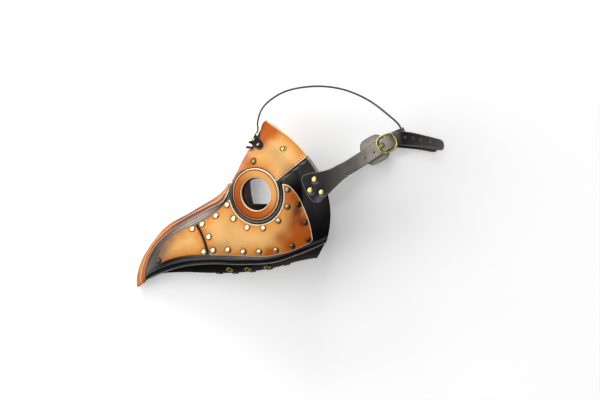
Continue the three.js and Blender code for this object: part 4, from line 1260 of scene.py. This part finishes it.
# Runs of the forehead panel that are pressed in for stitches, and how far in from its edge
PRESSED_RUNS = [(BROW_PANEL[2], 2.2), (BROW_PANEL[3], 2.4), (BROW_PANEL[1], 2.2)]
PRESSED_WIDE, PALE_WIDE, LIGHT_WIDE = 0.35, 2.2, 3.5
HEAD_SINK, BROW_STITCH_STEP = 0.15, 3.9


def forehead_marks():
    """The pressed runs, the front seam, which fades where the face turns away, and painted light: paler
    patches where the forehead lies in shade and a thin painted highlight along its rear edge.
    """
    light = [lambda xy: patches(xy, [(42, 44, 13, 0.75), (30, 28, 10, 0.4)]),
             beside(spaced(BROW_PANEL[3]), LIGHT_WIDE, 0.8)]
    pressed = [beside(set_in(run, brow_ring, inset), PRESSED_WIDE) for run, inset in PRESSED_RUNS]
    return {"groove": strongest(pressed),
            "seam": lambda xy: (distance(xy, BROW_PANEL[0], closed=False)
                                + 5 * (1 - ease(0.10, 0.30, on_side(xy)[1][:, 2]))),
            "glow": strongest(light)}


# The panels: outline, rivets, runs with a pale cut edge, and the places where the dye is warm, dark or smoky,
# each as x, y, radius and strength
PANELS = [
    ("beak_tip_panel", outline(TIP_PANEL), TIP_RIVETS, [], {
        "warm": [(-100, -92, 9, 0.5), (-78, -88, 8, 0.6), (-134, -94, 9, 0.6)],
        "dark": [(-137, -93, 7, 0.9)],
        "smoke": [(-134, -86, 10, 0.8), (-128, -74, 9, 0.75), (-119, -63, 8, 0.65), (-108, -54, 7, 0.45)]}),
    ("cheek_panel", rounded(cut_away(outline(CHEEK_PANEL), PANEL_CUT)), CHEEK_RIVETS,
     [(on_plane_circle(PANEL_CUT), 1), (CHEEK_PANEL[2], 1), (CHEEK_PANEL[3], 0.6)], {
        "warm": [(34, -60, 12, 0.5), (64, -44, 22, 1.1), (52, -4, 17, 0.8), (20, -84, 12, 1.0),
                 (50, -76, 15, 0.9), (76, -62, 14, 0.8), (12, -46, 8, 0.4), (-72, -52, 6, 0.4),
                 (36, 2, 9, 0.5)],
        "dark": [(58, -22, 9, 0.95), (65, -40, 9, 0.8), (76, -56, 8, 0.35), (48, -34, 8, 0.3)],
        "smoke": [(-52, -74, 8, 0.35), (-40, -68, 6, 0.25), (54, -24, 6, 0.3)]}),
    # The forehead's marks also hold painted light: paler where it lies in shade, and a painted highlight
    # along its rear edge.
    ("forehead_panel", rounded(cut_away(brow_ring, BROW_CUT)), BROW_RIVETS,
     [(BROW_PANEL[2], 1), (BROW_PANEL[3], 1)], {
        "warm": [(12, 100, 24, 1.6), (2, 76, 11, 0.8), (-14, 48, 11, 0.8), (-28, 26, 13, 0.9),
                 (-4, 36, 9, 0.2), (64, 58, 10, 0.3)],
        "dark": [(13, 103, 8, 0.3)], "smoke": [(27, 58, 5, 0.12)], **forehead_marks()}),
]

for name, ring, rivets, pale_runs, stains_and_light in PANELS:
    # Only the forehead reaches the front seam, and only its rivets are small and dull
    stains_and_light.setdefault("seam", lambda xy: np.full(len(xy), FAR_AWAY))
    if pale_runs:
        stains_and_light["pale"] = strongest([beside(spaced(run), PALE_WIDE, much) for run, much in pale_runs])
    forehead = name == "forehead_panel"
    spots = rivets + [BROW_EYELET] * forehead
    radius, finish = (0.0033, dull_brass) if forehead else (0.004, panel_brass)
    sheet = cut_sheet(ring, on_side, GAP, PANEL_THICK, 1.3, rivets=spots, **stains_and_light)
    rivet_marks = raised(rivets, GAP + PANEL_THICK - HEAD_SINK)
    for hand, flip in HANDS.items():
        piece(f"{name}_leather_{hand}", sheet, [tan_leather], [f"{name}_{hand}"], flip)
        riveted(f"{name}_rivets_{hand}", radius, 0.0014, finish, rivet_marks, (), flip)


# The strip folded over the ridge of the beak

# Half its columns; how far in from its edge the pressed line and the stitches run; the stitches' spacing
# along the strip, how high they lie, and how far they lean ahead
CREST_HALF, PRESSED_LINE = 22, 6.3
CREST_STITCH_IN, CREST_STITCH_STEP, CREST_STITCH_LIFT, CREST_STITCH_LEAN = 3.4, 3.0, 1.9, 0.35


def crest_shape():
    edge_s, edge_t = locate(np.array(STRIP_EDGE, float))
    order = np.argsort(edge_s)
    edge_s, edge_t = edge_s[order], edge_t[order]
    rows = 200
    s = np.linspace(0.0, STRIP_ENDS, rows)
    reach = np.interp(s, edge_s, edge_t)
    reach = np.where(s < 0.045, 1.0 - (1.0 - np.interp(0.045, edge_s, edge_t)) * s / 0.045, reach)
    reach *= 1 - ease(0.64, STRIP_ENDS, s) * 0.75
    columns = np.arange(-CREST_HALF, CREST_HALF + 1)
    sizes = np.abs(columns) / CREST_HALF
    s2 = s[:, None] - 0.008 * (1 - sizes[None]) * (1 - ease(0, 0.05, s))[:, None]
    t2 = reach[:, None] * sizes[None]
    p, facing = side(s2, t2), normals_of(side, s2, t2)
    gaps = np.linalg.norm(np.diff(p[:, CREST_HALF:], axis=1), axis=2)
    from_top = np.concatenate([np.zeros((rows, 1)), np.cumsum(gaps, 1)], 1)
    top = from_top[:, np.abs(columns)]
    across = from_top[:, -1:] - top
    rise = GAP + 1.5 * ease(-0.4, 0.9, across) + 0.4 * ease(6.0, 7.6, across)
    rise -= 0.5 * np.exp(-((across - PRESSED_LINE) / 0.5) ** 2)
    rise += 1.3 * ease(0.2, 0.36, s2) * ease(3, 8, across)
    rise *= 0.3 + 0.7 * ease(-0.01, 0.05, s2)
    outer, inner = p + facing * rise[..., None], p + facing * GAP
    sign = np.where(columns < 0, -1, 1)
    for layer, low in ((outer, 0.9), (inner, 0.4)):
        layer[..., 2] = np.maximum(layer[..., 2], low * np.minimum(top, 1.0)) * sign
    shape = thicken(outer.reshape(-1, 3), inner.reshape(-1, 3), grid_shape(outer),
                    {"across": across.ravel(), "top": top.ravel(), "along": s2.ravel()}, 0)
    return outward_faces(shape), p, facing, across


crest, crest_p, crest_facing, crest_across = crest_shape()
piece("ridge_strip", crest, [crest_leather], ["crest_strip"])


def crest_stitches():
    """Slanted stitches along the dark band of the ridge strip."""
    rows = [i for i in range(2, len(crest_p) - 4) if crest_across[i, CREST_HALF] >= 6]
    columns = CREST_HALF + np.argmin(np.abs(crest_across[rows, CREST_HALF:] - CREST_STITCH_IN), axis=1)
    track = crest_p[rows, columns]
    at = np.arange(2, walked(track)[-1] - 2, CREST_STITCH_STEP)
    spots = at_lengths(at, track)
    normal = unit(at_lengths(at, track, crest_facing[rows, columns]))
    ahead = unit(at_lengths(at + 1, track) - spots)
    slant = unit(np.cross(normal, ahead) + ahead * CREST_STITCH_LEAN)
    return spots + normal * CREST_STITCH_LIFT, normal, slant


sewn("ridge_strip_stitches", 0.0050, 0.0013, dark_thread,
     [np.concatenate([v, v * (1, 1, -1)]) for v in crest_stitches()])


# Goggle rings and lenses: radius, height, and for the ring how much is cut edge and how far in it lies
RING_PROFILE = [
    (RING_HOLE, GAP, 1, 0), (RING_HOLE, 2.4, 1, 0), (RING_HOLE + 0.25, 3.3, 1, 0.2),
    (RING_HOLE + 0.9, 3.8, 1, 0.4), (RING_HOLE + 1.4, 3.98, 0, 1.4), (RING_HOLE + 4, 4.15, 0, 4),
    (RING_RADIUS - 6, 4.15, 0, 6), (RING_RADIUS - 3.4, 4.02, 0, 3.4), (RING_RADIUS - 2.9, 3.72, 0, 2.9),
    (RING_RADIUS - 2.3, 3.72, 0, 2.3), (RING_RADIUS - 1.8, 3.95, 0, 1.8),
    (RING_RADIUS - 1.35, 3.9, 0, 1.4), (RING_RADIUS - 1.1, 3.8, 1, 0.9), (RING_RADIUS - 0.15, 3.3, 1, 0.2),
    (RING_RADIUS, 2.7, 1, 0), (RING_RADIUS, 1.2, 1, 0), (RING_RADIUS, GAP, 1, 0),
]
LENS_CURVE, RING_STITCHES, RING_GROOVE, RING_STITCH_LIFT = 150, 74, 2.6, 3.95
LENS_RIM = [(24.0, -2.1), (24.3, -2.45), (26.6, -2.5), (27, -3.4), (26.4, -4.4), (24.6, -5.0), (0.001, -5.0)]

profile = np.array(RING_PROFILE)
ring = turned(profile[:, :2], 120, {"wall": profile[:, 2], "edge": profile[:, 3]})
looks = ring["values"]
# Painted light: the ring is paler toward its upper right and darker toward its lower left, as light falls on
# it.
looks["light"] = 0.5 + 0.5 * np.sin(looks.pop("turn") + 0.75)
looks["hole"] = 1.0 * (eye_distance(ring["points"])[0] < RING_HOLE + 2)
looks["groove"] = 1.0 * (np.abs(looks["edge"] - RING_GROOVE) < 0.4)
angle = np.arange(RING_STITCHES) * 2 * math.pi / RING_STITCHES
ring_marks = (EYE + spokes(angle) * (RING_RADIUS - RING_GROOVE) + eye_normal * RING_STITCH_LIFT,
              np.tile(eye_normal, (RING_STITCHES, 1)), spokes(angle + math.pi / 2))
dome = [(r, 0.4 - (LENS_CURVE - math.sqrt(LENS_CURVE**2 - r * r)))
        for r in (0.001, 0.05, 0.3, 3, 6, 9, 12, 15, 18, 21, 23.3)]
lens = turned(dome + LENS_RIM, 72)
for hand, flip in HANDS.items():
    piece(f"goggle_ring_{hand}", ring, [ring_leather], [f"eye_ring_{hand}"], flip)
    piece(f"goggle_lens_{hand}", lens, [lens_dark], [f"lens_{hand}"], flip)
    sewn(f"goggle_stitches_{hand}", 0.0017, 0.0017, ring_thread, ring_marks, flip)


# Stitches along the edges of the forehead panels

def panel_stitches(run, ring, inset, spacing):
    """Stitch marks along a run of an outline, set in from it."""
    track = set_in(run, ring, inset)
    at = np.arange(3, walked(track)[-1] - 3, spacing)
    (p, facing), (ahead, _) = (on_side(at_lengths(at + on, track)) for on in (0, 0.5))
    return p + facing * (GAP + PANEL_THICK + HEAD_SINK), facing, unit(ahead - p)


stitched = [panel_stitches(run, brow_ring, inset, BROW_STITCH_STEP) for run, inset in PRESSED_RUNS[1:]]
stitched = [np.concatenate(parts) for parts in zip(*stitched)]
for hand, flip in HANDS.items():
    sewn(f"forehead_stitches_{hand}", 0.0022, 0.0020, thread, stitched, flip)


# Harness: side straps, pads, buckles, and the straps round the back and over the crown

def side_path(reach):
    path = [(x, y, r) for (x, y), r in zip(STRAP_PLAN, reach)]
    turn = STRAP_TWIST * ease(TWIST_FROM, 1, np.linspace(0, 1, len(path)))
    outward = np.stack([np.zeros(len(path)), np.sin(turn), np.cos(turn)], 1)
    outward[0] = (-0.12, -0.01, 0.99)
    return path, outward


def strap_surface(reach):
    """A surface under one side strap: the cheek's at its base, then the strap's own."""
    p, along, across, out = strap_frames(*side_path(reach), np.linspace(0, 1, 700))
    gone = walked(p[:, :2])

    def surface(xy):
        xy = np.array(xy, float)
        i = np.argmin(((xy[:, None] - p[None, :, :2]) ** 2).sum(2), 1)
        flat = across[i, :2]
        b = ((xy - p[i, :2]) * flat).sum(1) / np.maximum((flat**2).sum(1), 1e-6)
        extra = ((xy - p[i, :2]) * unit(along[i, :2])).sum(1)
        z = p[i, 2] + across[i, 2] * b + along[i, 2] / np.maximum(np.hypot(*along[i, :2].T), 1e-6) * extra
        strap_point = np.concatenate([xy, z[:, None]], 1) - out[i] * STRAP_THICK / 2
        cheek_point, cheek_normal = on_side(xy)
        w = ease(-2, 16, gone[i] + np.where(i == 0, extra, 0))[:, None]
        point = (cheek_point + cheek_normal * GAP) * (1 - w) + strap_point * w
        return point, unit(cheek_normal * (1 - w) + out[i] * w)

    return surface


def strap_ring(reach):
    """The strap's outline: its teardrop base, its two edges and its rounded end."""
    p, along, across, _ = strap_frames(*side_path(reach), np.linspace(0.075, 1, 90))
    flat = across[:, :2] * STRAP_WIDTH / 2
    if flat[0, 1] < 0:
        flat = -flat
    end = unit(along[-1, :2]) * 5.5
    tip = [p[-1, :2] + flat[-1] * aside + end * on for aside, on in
           ((0.92, 0.45), (0.7, 0.78), (0.35, 0.96), (0, 1), (-0.35, 0.96), (-0.7, 0.78), (-0.92, 0.45))]
    base_upper, base_lower = STRAP_BASE
    points = [*base_upper[::-1], *(p[:, :2] + flat), *tip, *(p[:, :2] - flat)[::-1], *base_lower[::-1]]
    return rounded(np.array(points, float), 1.2)


def plate(runs, frame, lift, thick, **more):
    """A flat leather plate drawn along and across a strap, on the strap's inner side."""
    p, along, across, out = frame
    surface = lambda xy: (p + along * xy[:, :1] + across * xy[:, 1:], np.tile(out, (len(xy), 1)))
    return cut_sheet(outline(runs), surface, lift, thick, 1.6, **more)


def strap_gleam(xy):
    """Bluish light in the leather pressed down under the strap's rivets, and round the end of its base."""
    total = patches(xy, [(88, -7.5, 4.5, 0.35)])
    for rivet in STRAP_RIVETS:
        off = xy - rivet
        far = np.maximum(np.linalg.norm(off, axis=1), 1e-6)
        below = off @ np.array([0.15, -0.99]) / far
        total += 0.55 * np.exp(-((far - 5.6) / 0.8) ** 2) * ease(0.35, 0.95, below)
    return np.clip(total, 0, 1)


def strap_painted_light(xy):
    """Painted light along the strap, as grey: dark at its base, palest at the buckle, dark again on the tail.
    """
    return np.interp(xy[:, 0], [64, 95, 118, 140, 158, 180, 193, 203, 262],
                     [0.0, 0.03, 0.17, 0.34, 0.8, 0.95, 0.42, 0.03, 0.2])


# The buckle's pad and the leather turned over its bar, along the strap from the buckle's middle
PAD = [[(-38, 0), (-36.5, 11), (-31, 17.5), (-22, 19), (-9, 18.5), (-3, 14), (-1, 8), (-1, -8), (-3, -14),
        (-9, -18.5), (-22, -19), (-31, -17.5), (-36.5, -11), (-38, 0)]]
LOOP = [(-9, -1.6), (-7.4, 0.4), (-4.6, 2.6), (0, 3.4), (4.5, 2.5), (8, -0.2), (9.8, -2.6)]
LOOP_WIDTH, LOOP_THICK, LOOP_SLOT = 18.0, 1.4, -6.2
BAR_PLACE, BAR_RADIUS = 1, 1.0
PUNCHED_RADIUS = 1.3


def buckle_shapes(frame):
    """The brass frame with its bar, its tongue, and the leather turned over the bar."""
    p, along, across, out = frame
    lift = STRAP_THICK / 2 + 2 * GAP + BUCKLE_WIRE
    at = lambda x, y, z: p + along * x + across * y + out * (lift + z)
    a, b = BUCKLE_LENGTH / 2 - BUCKLE_WIRE, BUCKLE_WIDTH / 2 - BUCKLE_WIRE
    upper = [(a * 0.86, b * 0.68), (a * 0.36, b), (-a * 0.5, b), (-a * 0.93, b * 0.62)]
    loop = [(a, 0), *upper, (-a, 0), *((x, -y) for x, y in upper[::-1])]
    rim = tube([at(x, y, 0) for x, y in outline([[*loop, loop[0]]], 0.8, 1.4)], BUCKLE_WIRE, 12, closed=True)
    bar = tube([at(BAR_PLACE, y, 0.15) for y in np.linspace(-b, b, 9)], BAR_RADIUS, 10)
    bend = [at(x, 0, z) for x, z in ((1.6, 0.9), (0.6, 1.2), (-2, 1.4), (-5, 2.0), (-9, 2.5), (-12.5, 2.3),
                                     (-a - 0.6, 2.1))]
    tongue = tube(catmull(bend, np.linspace(0, 1, 24)), np.linspace(1.05, 0.8, 24), 10)
    turn_over = swept([at(x, 0, z) for x, z in LOOP], [out] * len(LOOP), LOOP_WIDTH, LOOP_THICK, 40)
    # The leather over the bar is painted pale grey as painted light, like the strap by the buckle, and black
    # at the tongue's slot as painted shade in place of an opening.
    from_slot = turn_over["points"] - at(LOOP_SLOT, 0, 0)
    there = (np.abs(from_slot @ along) < 2.4) & (np.abs(from_slot @ across) < 2.6)
    turn_over["values"].update({"slot": 1.0 * there, "pale": np.full(len(there), 0.8)})
    return join(rim, bar), tongue, turn_over


def back_path(left, right):
    """The back strap's path and facings, from under the left buckle to under the right one."""
    drop = STRAP_THICK / 2 + 6 * GAP + PAD_THICK + BACK_THICK / 2
    under = lambda f, k: f[0] + f[1] * k - f[3] * drop
    flip = np.array([1, 1, -1])
    first, last = [under(left, k) for k in (-26, -10)], [under(right, k) * flip for k in (-10, -26)]
    return [*first, *BACK_MIDDLE, *last], [left[3], left[3], *BACK_OUTWARD, right[3] * flip, right[3] * flip]


def leather(name, shape, nodes=(), flip=1, finish=strap_leather):
    piece(name, shape, [finish], nodes, flip)


buckle_frames = []
for hand, flip in HANDS.items():
    reach = STRAP_REACH[hand]
    surface = strap_surface(reach)
    strap = cut_sheet(strap_ring(reach), surface, 0, STRAP_THICK, 1.5, dip=0.9, crown=0.15,
                      holes=[(x, y, PUNCHED_RADIUS) for x, y in STRAP_HOLES + TAIL_HOLES],
                      rivets=STRAP_RIVETS,
                      pale=strap_painted_light, brown=lambda xy: ease(236, 262, xy[:, 0]),
                      halo=lambda xy: 1 - ease(1.9, 2.6, nearness(xy, TAIL_HOLES)), gleam=strap_gleam)
    leather(f"side_strap_leather_{hand}", strap, [f"side_strap_{hand}"], flip)
    at = [a[0] for a in strap_frames(*side_path(reach), np.array([BUCKLE_PLACE]))]
    buckle_frames.append(at)
    # The pad is painted pale grey over nearly all of it, a painted highlight.
    pad = plate(PAD, at, -STRAP_THICK / 2 - 3 * GAP - PAD_THICK, PAD_THICK, pale=[(-20, 0, 40, 1.0)])
    leather(f"buckle_pad_leather_{hand}", pad, [f"buckle_pad_{hand}"], flip)
    rim, tongue, turn_over = buckle_shapes(at)
    piece(f"buckle_frame_{hand}", rim, [brass], [f"buckle_{hand}"], flip)
    piece(f"buckle_pin_{hand}", tongue, [brass], [f"buckle_tongue_{hand}"], flip)
    leather(f"buckle_loop_leather_{hand}", turn_over, (), flip)
    riveted(f"strap_rivet_heads_{hand}", 0.0044, 0.0017, brass,
            raised(STRAP_RIVETS, STRAP_THICK - 0.1, surface),
            [f"strap_rivet_{hand}_{i}" for i in (1, 2, 3)], flip)

leather("back_strap_leather", swept(*back_path(*buckle_frames), STRAP_WIDTH, BACK_THICK, 160), ["back_strap"])
ahead = unit(np.gradient(np.array(TOP_PATH, float), axis=0))
upward = np.stack([-ahead[:, 1], ahead[:, 0], np.zeros(len(ahead))], 1)
leather("top_strap_leather", swept(TOP_PATH, upward, TOP_WIDTH, TOP_THICK, 160), ["top_strap"])

# The riveted tabs and the belts across the brow
lift = 4 * GAP + PANEL_THICK + TAB_THICK + BELT_THICK / 2
for number, (place, reach) in enumerate(BELTS, 1):
    s, t = np.full(3, place), np.array(reach, float)
    facing = normals_of(side, s, t)
    points = side(s, t) + facing * lift
    points[2, 2] = facing[2, 2] = 0
    path, outward = ([*v, *(v[:2][::-1] * (1, 1, -1))] for v in (points, facing))
    leather(f"brow_belt_{number}_leather", swept(path, outward, BELT_WIDTH, BELT_THICK, 60),
            [f"brow_belt_{number}"], finish=tab_leather)
low = 2 * GAP + PANEL_THICK
tab = cut_sheet(outline(BROW_TAB, 0.7, 0.8), on_side, low, TAB_THICK, 1.1, rivets=TAB_RIVETS, dip=0.2)
tab_marks = raised(TAB_RIVETS, low + TAB_THICK - 0.1)
eyelet_marks = raised([BROW_EYELET], GAP + PANEL_THICK + 0.2)
for hand, flip in HANDS.items():
    leather(f"brow_tab_leather_{hand}", tab, [f"brow_tab_{hand}"], flip, tab_leather)
    riveted(f"brow_rivet_heads_{hand}", 0.0028, 0.0015, brass, tab_marks,
            [f"brow_rivet_{hand}_{i}" for i in (1, 2)], flip)
    scattered(f"brow_washer_{hand}", eyelets,
              {"Radius": 0.006, "Hole": 0.0042, "Rise": 0.0009, "Depth": 0.001}, brass, eyelet_marks,
              [f"brow_eyelet_{hand}_1"], flip)
    riveted(f"brow_stud_{hand}", 0.0035, 0.0019, brass, eyelet_marks, (), flip)


# Floor, light and camera

STAGE_HALF = 6.0
# The camera, in millimetres: how far off it is, what it looks at on the mask's own axes, and what it sees
CAMERA_AWAY, VIEW_CENTRE, VIEW_WIDTH = 5000.0, (61.6, -8.1), 600 * 1.4


def stage_floor():
    mesh = bpy.data.meshes.new("ground")
    corners = [(x * STAGE_HALF, y * STAGE_HALF, 0) for x, y in ((-1, -1), (1, -1), (1, 1), (-1, 1))]
    mesh.from_pydata(corners, [], [(0, 1, 2, 3)])
    mesh.materials.append(material("ground", lambda m: {
        "Roughness": 0.75 + m.noise(30, 3) * 0.1}, Base_Color=(0.96, 0.96, 0.96, 1),
        Emission_Color=(1, 1, 1, 1), Emission_Strength=0.36))
    obj = add_object("ground", mesh)


def area_light(name, place, size, power, target=(0, 0, 0.1)):
    light = bpy.data.lights.new(name, "AREA")
    light.shape, light.energy = "RECTANGLE", power
    light.size, light.size_y = size
    obj = add_object(name, light)
    obj.rotation_euler = Vector(np.subtract(target, place)).to_track_quat("-Z", "Y").to_euler()
    obj.location = place


def add_camera():
    """A camera far off on the mask's own z, with 1.4 mm of the mask in each of 600 pixels."""
    data = bpy.data.cameras.new("camera")
    data.sensor_width = 36.0
    data.lens = data.sensor_width * (CAMERA_AWAY - 40) / VIEW_WIDTH
    data.clip_end = 50
    obj = add_object("camera", data)
    turn = Matrix(TURN.tolist()).to_4x4()
    turn.translation = to_world([*VIEW_CENTRE, CAMERA_AWAY])
    obj.matrix_world = turn
    bpy.context.scene.camera = obj


def studio():
    """A pale surround, bright at the horizon and dark overhead, so that black leather stays black."""
    world = bpy.data.worlds.new("studio")
    world.use_nodes = True
    nodes = Nodes(world.node_tree)
    way = nodes.add("ShaderNodeTexCoord", output="Generated")
    height = nodes.add("ShaderNodeSeparateXYZ", {}, {"Vector": way}, output="Z")
    light = nodes.step(height, 0.05, 0.5, 0.18, 0.05)
    background = world.node_tree.nodes["Background"]
    background.inputs["Color"].default_value = (0.97, 0.98, 1.0, 1)
    world.node_tree.links.new(light.socket, background.inputs["Strength"])
    bpy.context.scene.world = world
    bpy.context.scene.view_settings.view_transform = "Standard"


stage_floor()
studio()
area_light("softbox", (-5.75, 0.5, 4.6), (7.3, 7.4), 580)
area_light("upper_panel", (-1.6, 3.4, 2.0), (3.0, 1.6), 80)
add_camera()
